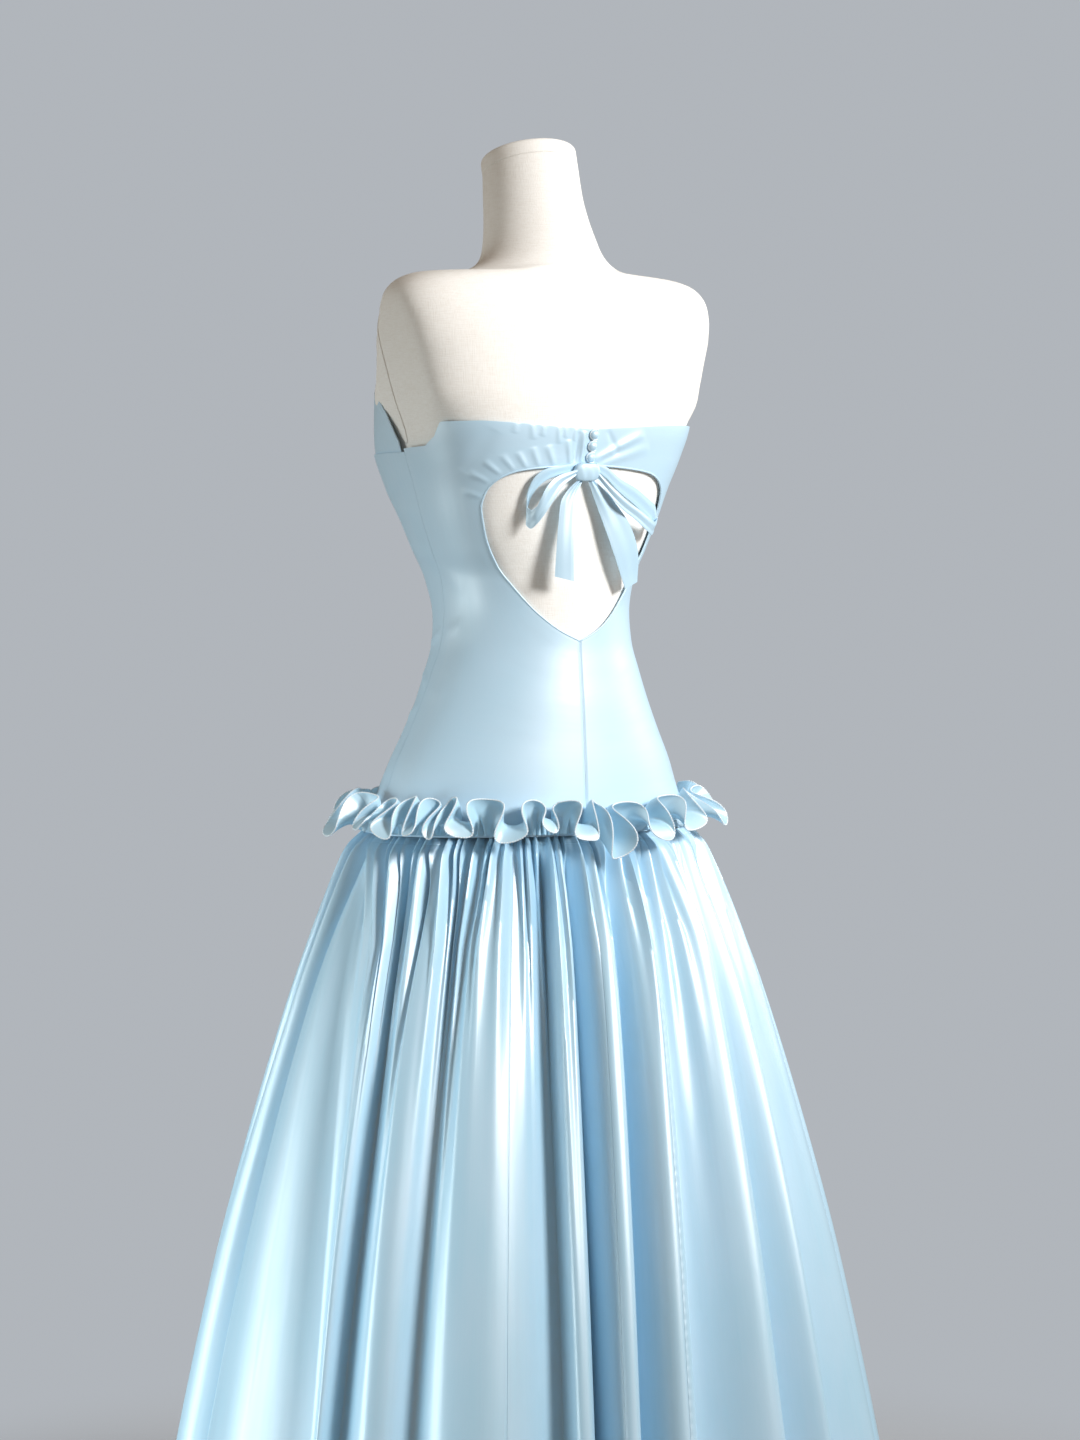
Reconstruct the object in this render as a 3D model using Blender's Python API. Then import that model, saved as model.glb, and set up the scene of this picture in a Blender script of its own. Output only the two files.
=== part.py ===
"""A-line evening dress in pale blue satin, worn by a dress form on a stand.

Metres, +Z up. The dress faces -Y and its open back faces +Y. The wearer's left is +X.
The origin is on the floor under the middle of the stand.
Azimuths are in degrees from the centre back towards the wearer's left.
"""
import math

import bmesh
import bpy
import numpy as np

# Cloth and fit
WALL = 0.0014
GAP = 0.0003
FORM_INSET_BACK = 0.0034
FORM_INSET_FRONT = 0.0052
FRAME_STEP = 0.004
SHARP_ANGLE = 40

# Heights of the dress
HEM_HEIGHT = 0.009
SKIRT_TOP = 0.8675
BODICE_BOTTOM = SKIRT_TOP + GAP
RUFFLE_BOTTOM = SKIRT_TOP + 0.0025
SIDE_SEAM = 92.0
UNDERARM = 1.2625
OVERLAY_EDGE = 1.2590
BAND_TOP_BACK = 1.2810

# Outer surface of the bodice, one row for each level
BODICE_SECTIONS = np.array([
    # height, half width, back, front, middle y, squareness
    (0.863, 0.1860, 0.1190, 0.130, 0.000, 2.0),
    (0.907, 0.1680, 0.1170, 0.127, 0.000, 2.0),
    (0.939, 0.1565, 0.1150, 0.112, 0.001, 2.0),
    (0.970, 0.1420, 0.1125, 0.100, 0.002, 2.0),
    (1.002, 0.1280, 0.1100, 0.092, 0.003, 2.0),
    (1.033, 0.1165, 0.1065, 0.092, 0.004, 2.0),
    (1.065, 0.1060, 0.1040, 0.096, 0.005, 2.0),
    (1.096, 0.1027, 0.1050, 0.106, 0.005, 2.0),
    (1.128, 0.1060, 0.1070, 0.120, 0.005, 2.1),
    (1.159, 0.1175, 0.1100, 0.127, 0.006, 2.3),
    (1.191, 0.1290, 0.1135, 0.133, 0.007, 2.5),
    (1.222, 0.1380, 0.1180, 0.150, 0.008, 2.7),
    (1.254, 0.1490, 0.1235, 0.152, 0.010, 2.9),
    (1.285, 0.1580, 0.1290, 0.135, 0.012, 3.0),
    (1.330, 0.1650, 0.1320, 0.115, 0.016, 3.0),
])

# One side of the heart-shaped cutout, and the panel's outer edge opposite each row
CUTOUT = np.array([
    # share of the way round, cutout azimuth, cutout height
    (0.00, 0.0, 1.2450),
    (0.07, 11.0, 1.2441),
    (0.14, 22.0, 1.2425),
    (0.22, 36.0, 1.2385),
    (0.29, 45.0, 1.2300),
    (0.35, 51.0, 1.2160),
    (0.41, 53.5, 1.1980),
    (0.48, 53.0, 1.1740),
    (0.56, 49.0, 1.1440),
    (0.64, 39.0, 1.1180),
    (0.73, 27.0, 1.0950),
    (0.86, 13.0, 1.0765),
    (1.00, 0.0, 1.0655),
])
BACK_EDGE = np.array([
    # share of the way round, edge azimuth, edge height
    (0.00, 0.0, BAND_TOP_BACK),
    (0.08, 20.0, 1.2835),
    (0.20, 50.0, 1.2880),
    (0.25, 61.0, 1.2870),
    (0.29, 68.0, 1.2745),
    (0.33, 76.0, 1.2640),
    (0.39, SIDE_SEAM, UNDERARM),
    (0.70, SIDE_SEAM, BODICE_BOTTOM),
    (1.00, 0.0, BODICE_BOTTOM),
])
BACK_COLUMNS = 6
FRONT_LEVELS = (BODICE_BOTTOM, 0.895, 0.925, 0.955, 0.985, 1.015, 1.045, 1.075, 1.110,
                1.145, 1.180, 1.210, 1.230, 1.246, OVERLAY_EDGE)
CUP_ROWS = (0.33, 0.67, 1.0)
# Half of the strapless top edge, from the side seam to the centre front
NECKLINE = np.array([
    # azimuth, height
    (SIDE_SEAM, 1.2625),
    (96.0, 1.2700),
    (99.0, 1.2850),
    (103.0, 1.3000),
    (111.0, 1.3160),
    (122.0, 1.3240),
    (138.0, 1.3290),
    (152.0, 1.3270),
    (166.0, 1.3150),
    (180.0, 1.3040),
])

# Outline of the skirt over its ridges
SKIRT_SECTIONS = np.array([
    # height, half width, half depth, middle y
    (HEM_HEIGHT, 0.4274, 0.3754, 0.0000),
    (0.1000, 0.4106, 0.3577, 0.0000),
    (0.2700, 0.3775, 0.3227, 0.0000),
    (0.4200, 0.3447, 0.2884, 0.0000),
    (0.5600, 0.3071, 0.2493, 0.0000),
    (0.7000, 0.2647, 0.2055, 0.0000),
    (0.7500, 0.2470, 0.1880, -0.0005),
    (0.8000, 0.2279, 0.1676, -0.0015),
    (0.8300, 0.2150, 0.1540, -0.0030),
    (0.8520, 0.2030, 0.1420, -0.0045),
    (SKIRT_TOP, 0.1860, 0.1245, -0.0055),
])
SKIRT_LEVELS = (HEM_HEIGHT, 0.210, 0.420, 0.600, 0.715, 0.785, 0.828, 0.852, SKIRT_TOP)
GATHERS = 96
GATHER_DEPTH = 0.0060
GATHER_LENGTH = 0.055
FOLD_GROWTH = 0.085
TOP_DEPTH_SHARE = 0.55
GATHER_RUN = 0.12
SPREAD_POWER = 2.5
ROUND_FOLD = 0.045
SHARP_FOLD = 0.12
PINCH = 0.9
# Folds in the order seen from behind, left to right, starting at this gather from the back
FIRST_GATHER = 25.0
FOLDS = np.array([
    # gathers, azimuth of the left valley at the hem, depth of that valley, place of the crest
    (3.0, 101.0, 0.050, 0.62),
    (4.5, 62.5, 0.034, 0.60),
    (5.0, 59.3, 0.044, 0.60),
    (7.0, 49.2, 0.050, 0.64),
    (3.0, 23.8, 0.042, 0.55),
    (4.0, 16.6, 0.056, 0.56),
    (4.0, 8.4, 0.058, 0.62),
    (6.0, -2.9, 0.046, 0.68),
    (3.0, -25.4, 0.044, 0.62),
    (6.5, -36.1, 0.042, 0.60),
    (4.5, -62.0, 0.048, 0.45),
    (3.5, -77.0, 0.038, 0.55),
    (5.0, -93.0, 0.052, 0.40),
    (4.0, -107.0, 0.044, 0.58),
    (3.5, -126.0, 0.050, 0.46),
    (5.5, -139.0, 0.040, 0.60),
    (4.0, -158.0, 0.054, 0.42),
    (4.5, -174.0, 0.046, 0.55),
    (3.5, -193.0, 0.040, 0.44),
    (5.0, -205.0, 0.052, 0.60),
    (3.5, -225.0, 0.044, 0.42),
    (3.5, -240.0, 0.048, 0.52),
])
# Panels of the skirt, each with the gather at which its left seam lies
SKIRT_PANELS = (
    ("skirt_side_left", 24.5),
    ("skirt_back_left", 8.0),
    ("skirt_back_centre_left", 1.0),
    ("skirt_back_centre_right", -3.5),
    ("skirt_back_right", -9.0),
    ("skirt_side_right", -24.5),
    ("skirt_front_right", -37.5),
    ("skirt_front_left", -54.0),
)

# Waist ruffle, one row for each wave: the lobe that folds out, then the part that stands up
RUFFLE_SEAMS = (92.5, -91.5)
WAVES = np.array([
    # lobe azimuth, lobe reach, lobe height, standing azimuth, standing reach, standing height
    (116.0, 0.034, 0.876, 108.0, 0.012, 0.915),
    (99.0, 0.037, 0.870, 90.0, 0.010, 0.915),
    (84.0, 0.023, 0.893, 79.5, 0.010, 0.908),
    (75.0, 0.024, 0.889, 71.0, 0.011, 0.909),
    (67.0, 0.026, 0.884, 63.8, 0.011, 0.909),
    (60.8, 0.020, 0.890, 58.2, 0.010, 0.910),
    (53.5, 0.024, 0.886, 45.5, 0.016, 0.911),
    (35.3, 0.022, 0.878, 27.5, 0.009, 0.907),
    (21.5, 0.022, 0.889, 17.2, 0.009, 0.903),
    (5.0, 0.028, 0.877, 0.8, 0.008, 0.901),
    (-3.6, 0.038, 0.847, -14.0, 0.010, 0.900),
    (-27.0, 0.030, 0.866, -37.5, 0.011, 0.903),
    (-45.5, 0.028, 0.878, -54.5, 0.010, 0.910),
    (-63.0, 0.035, 0.871, -70.0, 0.012, 0.909),
    (-79.0, 0.024, 0.886, -86.0, 0.009, 0.911),
    (-96.0, 0.033, 0.875, -106.0, 0.012, 0.906),
    (-115.0, 0.022, 0.890, -121.0, 0.008, 0.912),
    (-128.0, 0.030, 0.873, -139.0, 0.014, 0.907),
    (-148.0, 0.025, 0.884, -154.0, 0.009, 0.909),
    (-160.5, 0.034, 0.866, -169.0, 0.011, 0.904),
    (-178.0, 0.026, 0.882, -185.0, 0.009, 0.910),
    (-193.0, 0.031, 0.872, -203.5, 0.013, 0.907),
    (-211.0, 0.023, 0.889, -216.5, 0.008, 0.911),
    (-223.0, 0.029, 0.877, -229.0, 0.010, 0.908),
    (-235.5, 0.025, 0.884, -240.0, 0.011, 0.911),
])
WAVE_COLUMNS = 8
WAVE_OVERHANG = 0.19
RUFFLE_ROWS = (0.0, 0.5, 1.0)
LOBE_ROLL = 0.014

# Bow at the lower edge of the back band
KNOT_AZIMUTH = 2.6
KNOT_HEIGHT = 1.2378
KNOT_SIZE = (0.0265, 0.0105, 0.0170)
KNOT_OUT = 0.0060
KNOT_TURN = 66.0
KNOT_RINGS = 7
KNOT_SIDES = 14
KNOT_SQUARENESS = 0.7
# Ribbon edges as azimuth, height and distance out from the bodice surface
LOOP_LEFT = np.array([
    # upper azimuth, upper height, lower azimuth, lower height, out
    (8.8, 1.2400, 8.8, 1.2345, 0.0080),
    (19.6, 1.2318, 16.2, 1.2228, 0.0120),
    (24.0, 1.2222, 20.8, 1.2080, 0.0150),
    (26.4, 1.2110, 24.6, 1.1950, 0.0165),
    (28.3, 1.2020, 27.6, 1.1858, 0.0150),
    (30.6, 1.1990, 30.6, 1.1802, 0.0105),
    (32.6, 1.2030, 32.9, 1.1845, 0.0065),
    (32.6, 1.2130, 32.9, 1.1950, 0.0042),
    (31.1, 1.2248, 31.5, 1.2080, 0.0034),
    (28.1, 1.2350, 28.5, 1.2200, 0.0034),
    (23.0, 1.2412, 23.0, 1.2300, 0.0036),
    (16.0, 1.2440, 16.0, 1.2352, 0.0026),
    (9.3, 1.2466, 9.3, 1.2372, 0.0009),
])
LOOP_RIGHT = np.array([
    # upper azimuth, upper height, lower azimuth, lower height, out
    (-3.5, 1.2370, -3.5, 1.2300, 0.0080),
    (-9.9, 1.2225, -8.4, 1.2150, 0.0140),
    (-16.2, 1.2110, -14.4, 1.2020, 0.0170),
    (-24.0, 1.2010, -23.0, 1.1905, 0.0175),
    (-33.0, 1.1920, -32.6, 1.1795, 0.0155),
    (-40.5, 1.1880, -40.5, 1.1745, 0.0115),
    (-45.6, 1.1930, -45.4, 1.1780, 0.0075),
    (-44.2, 1.2030, -44.0, 1.1860, 0.0044),
    (-35.4, 1.2138, -35.0, 1.1980, 0.0034),
    (-27.0, 1.2231, -26.6, 1.2080, 0.0034),
    (-18.0, 1.2312, -17.6, 1.2190, 0.0036),
    (-9.2, 1.2435, -9.0, 1.2335, 0.0024),
    (-4.2, 1.2468, -4.2, 1.2385, 0.0009),
])
TAIL_LEFT = np.array([
    # left azimuth, left height, right azimuth, right height, left out, right out
    (7.6, 1.2289, 4.4, 1.2289, 0.0050, 0.0050),
    (12.6, 1.2190, 7.0, 1.2180, 0.0055, 0.0065),
    (16.6, 1.2060, 8.6, 1.2060, 0.0070, 0.0085),
    (17.9, 1.1880, 9.8, 1.1880, 0.0085, 0.0100),
    (18.9, 1.1640, 10.5, 1.1640, 0.0100, 0.0120),
    (19.8, 1.1318, 10.4, 1.1270, 0.0120, 0.0140),
])
TAIL_RIGHT = np.array([
    # left azimuth, left height, right azimuth, right height, left out, right out
    (1.0, 1.2289, -2.4, 1.2289, 0.0050, 0.0055),
    (-2.6, 1.2120, -8.6, 1.2180, 0.0060, 0.0085),
    (-6.8, 1.1940, -15.2, 1.2040, 0.0075, 0.0100),
    (-12.2, 1.1690, -22.0, 1.1880, 0.0085, 0.0105),
    (-18.6, 1.1440, -28.6, 1.1670, 0.0080, 0.0100),
    (-25.6, 1.1240, -34.6, 1.1440, 0.0065, 0.0090),
    (-27.6, 1.1190, -37.6, 1.1260, 0.0060, 0.0085),
])
RIBBON_COLUMNS = 3
RIBBON_WALL = 0.0011

BUTTON_RADIUS = 0.0052
BUTTON_HEIGHT = 0.0042
BUTTON_TILTS = (0, 24, 46, 66, 80)
BUTTON_SIDES = 12
BUTTONS = (
    # name, azimuth, height
    ("button_top", -1.0, 1.2755),
    ("button_middle", -0.6, 1.2640),
    ("button_bottom", -0.2, 1.2525),
)

# Dress form. The part above the bodice is a loft whose rings rise towards the neck
FORM_LEVELS = (0.905, 0.950, 0.995, 1.040, 1.085, 1.128, 1.170, 1.212, 1.250, 1.285)
FORM_HIPS = (
    # height, half width, back, front
    (0.785, 0.098, 0.066, 0.070),
    (0.797, 0.132, 0.090, 0.096),
    (0.825, 0.152, 0.101, 0.104),
    (0.863, 0.158, 0.106, 0.111),
)
HIP_LEVEL = 0.960
HIP_RUN = 0.060
HIP_INSET = 0.012
FORM_SHOULDERS = (
    # half width, back y, front y, back and front squareness, side, back and front height
    (0.1600, 0.1280, -0.1060, 5.0, 2.9, 1.316, 1.316, 1.316),
    (0.1660, 0.1270, -0.0920, 6.0, 2.7, 1.344, 1.346, 1.342),
    (0.1720, 0.1230, -0.0740, 6.5, 2.8, 1.372, 1.376, 1.369),
    (0.1760, 0.1160, -0.0580, 6.0, 2.8, 1.396, 1.402, 1.391),
    (0.1755, 0.1080, -0.0460, 4.6, 2.6, 1.414, 1.422, 1.408),
    (0.1715, 0.1020, -0.0380, 3.8, 2.4, 1.427, 1.434, 1.421),
    (0.1610, 0.0970, -0.0330, 2.8, 2.2, 1.436, 1.441, 1.430),
    (0.1400, 0.0935, -0.0300, 2.3, 2.1, 1.4400, 1.4455, 1.435),
    (0.1150, 0.0930, -0.0285, 2.1, 2.0, 1.4415, 1.4490, 1.438),
    (0.0965, 0.0945, -0.0285, 2.0, 2.0, 1.4455, 1.4530, 1.442),
    (0.0825, 0.0950, -0.0305, 2.0, 2.0, 1.4540, 1.4600, 1.449),
    (0.0720, 0.0930, -0.0340, 2.0, 2.0, 1.4650, 1.471, 1.460),
    (0.0640, 0.0870, -0.0370, 2.0, 2.0, 1.4780, 1.482, 1.474),
    (0.0580, 0.0765, -0.0410, 2.0, 2.0, 1.4980, 1.502, 1.494),
    (0.0535, 0.0640, -0.0450, 2.0, 2.0, 1.5230, 1.532, 1.514),
)
FORM_HALF_ANGLES = (0, 12, 24, 35, 45, 53, 60, 66, 72, 79, 87, 95, 103, 110, 116, 123, 131,
                    141, 153, 166)
NECK_RADIUS = 0.0500
NECK_TOP = 1.5585
NECK_Y = 0.001
NECK_TILT = math.radians(16.0)
CAP_THICKNESS = 0.0165
CAP_EDGE = 0.0045
CAP_REBATE = 0.0015
PLATE_X = 0.1467
PLATE_SLOPE = 0.207
PLATE_HEIGHT = 1.285
PLATE_THICKNESS = 0.0050
PLATE_FACE_BOTTOM = 1.200
PLATE_SOFTNESS = 0.0030
PLATE_OUTLINE = (
    # height, back y, front y
    (1.2680, 0.0440, 0.0100),
    (1.2740, 0.0600, -0.0040),
    (1.2900, 0.0740, -0.0165),
    (1.3170, 0.0760, -0.0300),
    (1.3450, 0.0700, -0.0350),
    (1.3700, 0.0620, -0.0330),
    (1.3950, 0.0540, -0.0260),
    (1.4150, 0.0460, -0.0150),
    (1.4290, 0.0370, -0.0020),
    (1.4340, 0.0270, 0.0100),
)

# Stand under the form
POLE_RADIUS = 0.0150
COLLAR_RADIUS = 0.0320
COLLAR_HEIGHT = 0.0380
BASE_RADIUS = 0.1700
BASE_THICKNESS = 0.0120
BASE_EDGE = 0.0030
STAND_SEGMENTS = 32


def smooth_value(x, places, values):
    """Monotone cubic curve through the values at rising places."""
    places = np.asarray(places, dtype=float)
    values = np.asarray(values, dtype=float)
    steps = np.diff(places)
    slopes = np.diff(values) / steps
    tangents = np.zeros(len(places))
    tangents[0] = slopes[0]
    tangents[-1] = slopes[-1]
    for i in range(1, len(places) - 1):
        if slopes[i - 1] * slopes[i] > 0:
            tangents[i] = 2 * slopes[i - 1] * slopes[i] / (slopes[i - 1] + slopes[i])
    x = np.clip(x, places[0], places[-1])
    i = np.clip(np.searchsorted(places, x) - 1, 0, len(places) - 2)
    t = (x - places[i]) / steps[i]
    start = (1 + 2 * t) * (1 - t) ** 2 * values[i] + t * (1 - t) ** 2 * steps[i] * tangents[i]
    end = t * t * (3 - 2 * t) * values[i + 1] + t * t * (t - 1) * steps[i] * tangents[i + 1]
    return start + end


def table_value(x, table, column):
    """Value of a table's column at x, where column 0 holds the places."""
    return smooth_value(x, table[:, 0], table[:, column])


def bodice_point(azimuth, height, out=0.0):
    """Point on the bodice's outer surface, or the given distance outside it."""
    angle = np.radians(azimuth)
    height = np.asarray(height, dtype=float)
    width, back, front, middle, power = (
        table_value(height, BODICE_SECTIONS, column) for column in range(1, 6))
    sine, cosine = np.sin(angle), np.cos(angle)
    depth = np.where(cosine > 0, back - middle, front + middle) + out
    across = np.abs(sine / (width + out)) ** power + np.abs(cosine / depth) ** power
    radius = across ** (-1 / power)
    return np.stack([radius * sine, middle + radius * cosine, height + 0 * radius], axis=-1)


def surface_frame(azimuth, height, out=0.0):
    """A point beside the bodice with unit vectors across, up and out from it there."""
    step = FRAME_STEP
    origin = bodice_point(azimuth, height, out)
    across = bodice_point(azimuth - 1.0, height, out) - bodice_point(azimuth + 1.0, height, out)
    up = bodice_point(azimuth, height + step, out) - bodice_point(azimuth, height - step, out)
    across = across / np.linalg.norm(across)
    up = up / np.linalg.norm(up)
    outward = np.cross(up, across)
    outward = outward / np.linalg.norm(outward)
    return origin, across, up, outward * np.sign(outward[1])


def surface_normals(grid, around=False):
    """Unit normals of a grid of points, and how far a mitred offset runs along them."""
    if around:
        after = np.roll(grid, -1, axis=1) - grid
        before = grid - np.roll(grid, 1, axis=1)
    else:
        steps = np.diff(grid, axis=1)
        after = np.concatenate([steps, steps[:, -1:]], axis=1)
        before = np.concatenate([steps[:, :1], steps], axis=1)
    along = np.gradient(grid, axis=0)

    def unit(vectors):
        return vectors / np.maximum(np.linalg.norm(vectors, axis=-1, keepdims=True), 1e-12)

    face_after = unit(np.cross(after, along))
    face_before = unit(np.cross(before, along))
    normals = unit(face_after + face_before)
    mitre = 1 / np.clip(np.sum(normals * face_after, axis=-1, keepdims=True), 0.62, 1.0)
    return normals, mitre


def new_object(name, points, faces, finish):
    """A closed object with its faces pointing out, smooth but for its sharp edges."""
    mesh = bpy.data.meshes.new(name)
    shape = bmesh.new()
    corners = [shape.verts.new(point) for point in points]
    for face in faces:
        shape.faces.new([corners[i] for i in face])
    bmesh.ops.recalc_face_normals(shape, faces=shape.faces)
    shape.to_mesh(mesh)
    shape.free()
    mesh.shade_smooth()
    mesh.set_sharp_from_angle(angle=math.radians(SHARP_ANGLE))
    mesh.materials.append(finish(name))
    piece = bpy.data.objects.new(name, mesh)
    bpy.context.scene.collection.objects.link(piece)
    return piece


def cloth_wall(name, outer, inner, finish):
    """A closed wall between two equal grids of points, rows by columns."""
    rows, columns = outer.shape[:2]
    count = rows * columns
    points = np.concatenate([outer.reshape(-1, 3), inner.reshape(-1, 3)])
    faces = []
    for i in range(rows - 1):
        for j in range(columns - 1):
            a, b = i * columns + j, i * columns + j + 1
            c, d = b + columns, a + columns
            for side in (0, count):
                faces.append((a + side, b + side, c + side))
                faces.append((a + side, c + side, d + side))
    bottom = list(range(columns))
    top = [(rows - 1) * columns + j for j in range(columns)]
    left = [i * columns for i in range(rows)]
    right = [i * columns + columns - 1 for i in range(rows)]
    for edge in (bottom, top, left, right):
        for a, b in zip(edge, edge[1:]):
            faces.append((a, b, b + count, a + count))
    return new_object(name, points.tolist(), faces, finish)


def loft(name, rings, finish):
    """A closed body through equal rings, with a flat cap on each end."""
    count = len(rings[0])
    points = [point for ring in rings for point in ring]
    faces = []
    for i in range(len(rings) - 1):
        for j in range(count):
            a, b = i * count + j, i * count + (j + 1) % count
            faces.append((a, b, b + count))
            faces.append((a, b + count, a + count))
    faces.append(tuple(range(count)))
    faces.append(tuple(range(len(points) - count, len(points))))
    return new_object(name, points, faces, finish)


def turned(name, profile, middle, segments, finish):
    """A round body from (radius, height) rows around a vertical line at middle."""
    rings = []
    for radius, height in profile:
        turns = (2 * math.pi * k / segments for k in range(segments))
        rings.append([(middle[0] + radius * math.cos(t), middle[1] + radius * math.sin(t), height)
                      for t in turns])
    return loft(name, rings, finish)


def plain_material(name, colour, roughness, metallic=0.0):
    material = bpy.data.materials.new(name + "_finish")
    material.use_nodes = True
    shader = material.node_tree.nodes["Principled BSDF"]
    shader.inputs["Base Color"].default_value = (*colour, 1.0)
    shader.inputs["Roughness"].default_value = roughness
    shader.inputs["Metallic"].default_value = metallic
    return material


def satin(name):
    return plain_material(name, (0.46, 0.66, 0.79), 0.32)


def form_cover(name):
    return plain_material(name, (0.88, 0.87, 0.84), 0.85)


def stand_steel(name):
    return plain_material(name, (0.55, 0.56, 0.57), 0.35, 1.0)


def back_panel(name, side):
    """One C-shaped back panel, side +1 on the wearer's left and -1 on the right."""
    shares = np.concatenate([
        np.linspace(0.00, 0.39, 12), np.linspace(0.39, 0.70, 13)[1:], np.linspace(0.70, 1.0, 12)[1:]])
    across = np.linspace(0.0, 1.0, BACK_COLUMNS)[None, :]
    inner_edge = [table_value(shares, CUTOUT, column)[:, None] for column in (1, 2)]
    outer_edge = [np.interp(shares, BACK_EDGE[:, 0], BACK_EDGE[:, column])[:, None]
                  for column in (1, 2)]
    azimuth = inner_edge[0] + (outer_edge[0] - inner_edge[0]) * across
    height = inner_edge[1] + (outer_edge[1] - inner_edge[1]) * across
    on_side_seam = azimuth > SIDE_SEAM - 0.01
    outer = bodice_point(azimuth, height)
    inner = bodice_point(azimuth, height, -WALL)
    for grid in (outer, inner):
        grid[0, :, 0] = GAP / 2
        grid[-1, :, 0] = GAP / 2
        grid[..., 1] += np.where(on_side_seam, GAP / 2, 0)
        grid[..., 0] *= side
    return cloth_wall(name, outer, inner, satin)


def front_azimuths():
    """Columns that both front pieces share, closer together beside the armholes."""
    side = np.array([SIDE_SEAM, 96.0, 99.0, 103.0, 109.0])
    return np.concatenate([side, np.linspace(116, 244, 17), 360 - side[::-1]])[None, :]


def front_lower():
    """The long front, whose straight top edge stands free over the bust."""
    azimuth = front_azimuths()
    levels = np.array(FRONT_LEVELS)[:, None]
    outer = bodice_point(azimuth + 0 * levels, levels + 0 * azimuth)
    inner = bodice_point(azimuth + 0 * levels, levels + 0 * azimuth, -WALL)
    for grid in (outer, inner):
        grid[:, 0, 1] -= GAP / 2
        grid[:, -1, 1] -= GAP / 2
    return cloth_wall("front_lower", outer, inner, satin)


def neckline_height(azimuth):
    """Height of the strapless edge, the same on both sides of the front."""
    mirrored = 180 - np.abs(180 - azimuth)
    return table_value(mirrored, NECKLINE, 1)


def front_upper():
    """The cup band, tucked behind the long front and rising to the neckline."""
    azimuth = front_azimuths()[:, 1:-1]
    tucked = np.array(FRONT_LEVELS[-2:])[:, None] + 0 * azimuth
    rising = OVERLAY_EDGE + (neckline_height(azimuth) - OVERLAY_EDGE) * np.array(CUP_ROWS)[:, None]
    height = np.concatenate([tucked, rising])
    outer = bodice_point(azimuth + 0 * height, height, -WALL - GAP)
    inner = bodice_point(azimuth + 0 * height, height, -2 * WALL - GAP)
    return cloth_wall("front_upper", outer, inner, satin)


def waist_azimuth(gather):
    """Azimuth of a place counted in gathers from the centre back, evenly along the seam."""
    dense = np.radians(np.linspace(-180, 180, 1441))
    _, width, depth, _ = SKIRT_SECTIONS[-1]
    radius = 1 / np.hypot(np.sin(dense) / width, np.cos(dense) / depth)
    seam = np.stack([radius * np.sin(dense), radius * np.cos(dense)], axis=-1)
    run = np.concatenate([[0], np.cumsum(np.linalg.norm(np.diff(seam, axis=0), axis=1))])
    gathers = run / run[-1] * GATHERS - GATHERS / 2
    turns = np.floor((gather + GATHERS / 2) / GATHERS)
    return np.degrees(np.interp(gather - turns * GATHERS, gathers, dense)) + 360 * turns


def skirt_grid(levels):
    """Outer points of the whole skirt, one column for each half gather, from left to right."""
    columns = 2 * GATHERS
    gather = FIRST_GATHER - np.arange(columns) / 2
    starts = FIRST_GATHER - np.concatenate([[0], np.cumsum(FOLDS[:, 0])])
    fold = np.clip(np.searchsorted(-starts, -gather, side="right") - 1, 0, len(FOLDS) - 1)
    turn = (starts[fold] - gather) / FOLDS[fold, 0]

    hem_left = FOLDS[:, 1]
    hem_right = np.append(hem_left[1:], hem_left[0] - 360)
    depth_left = FOLDS[:, 2]
    depth_right = np.append(depth_left[1:], depth_left[0])
    waist_left = waist_azimuth(starts[:-1])
    waist_right = waist_azimuth(starts[1:])

    angle = 2 * np.pi * turn
    hem_width = np.radians(hem_left - hem_right)[fold] * SKIRT_SECTIONS[0, 1]
    roundness = 1 + hem_width / ROUND_FOLD
    ridge = 1 - ((1 + np.cos(angle)) / 2) ** roundness
    pinch = np.clip(hem_width, 0, SHARP_FOLD) * PINCH
    share = turn - pinch * np.sin(angle)
    share = share + 4 * (FOLDS[fold, 3] - 0.5) * share * (1 - share)
    valley = depth_left[fold] + (depth_right - depth_left)[fold] * turn

    drop = (SKIRT_TOP - np.asarray(levels)[:, None]) / (SKIRT_TOP - HEM_HEIGHT)
    spread = 1 - (1 - drop) ** SPREAD_POWER
    growth = 1 - np.exp(-drop / FOLD_GROWTH)
    growth = growth * (TOP_DEPTH_SHARE + (1 - TOP_DEPTH_SHARE) * drop)
    waist = waist_azimuth(gather)[None, :]
    hem = hem_left[fold] - (hem_left - hem_right)[fold] * share
    left = (waist_left[fold] - (waist_left - waist_right)[fold] * share)[None, :]
    blend = np.clip(drop / GATHER_RUN, 0, 1)
    azimuth = (waist + (left - waist) * blend) * (1 - spread) + hem[None, :] * spread
    length = GATHER_LENGTH * (1 + 0.5 * np.sin(2.4 * np.floor(gather)))
    pleat = GATHER_DEPTH * (1 - np.cos(2 * np.pi * gather)) / 2
    inset = (valley * (1 - ridge))[None, :] * growth
    inset = inset + pleat[None, :] * np.exp(-drop * (SKIRT_TOP - HEM_HEIGHT) / length[None, :])

    turned_by = np.radians(azimuth)
    width, depth, middle = (table_value(np.asarray(levels), SKIRT_SECTIONS, column)[:, None]
                            for column in (1, 2, 3))
    radius = 1 / np.hypot(np.sin(turned_by) / width, np.cos(turned_by) / depth) - inset
    height = np.asarray(levels)[:, None] + 0 * radius
    return np.stack([radius * np.sin(turned_by), middle + radius * np.cos(turned_by), height], axis=-1)


def shrink_ends(grid):
    """Draws a panel's two seam edges back by half the gap."""
    for end, beside in ((0, 1), (-1, -2)):
        step = grid[:, beside] - grid[:, end]
        grid[:, end] += step / np.linalg.norm(step, axis=-1, keepdims=True) * GAP / 2


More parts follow.
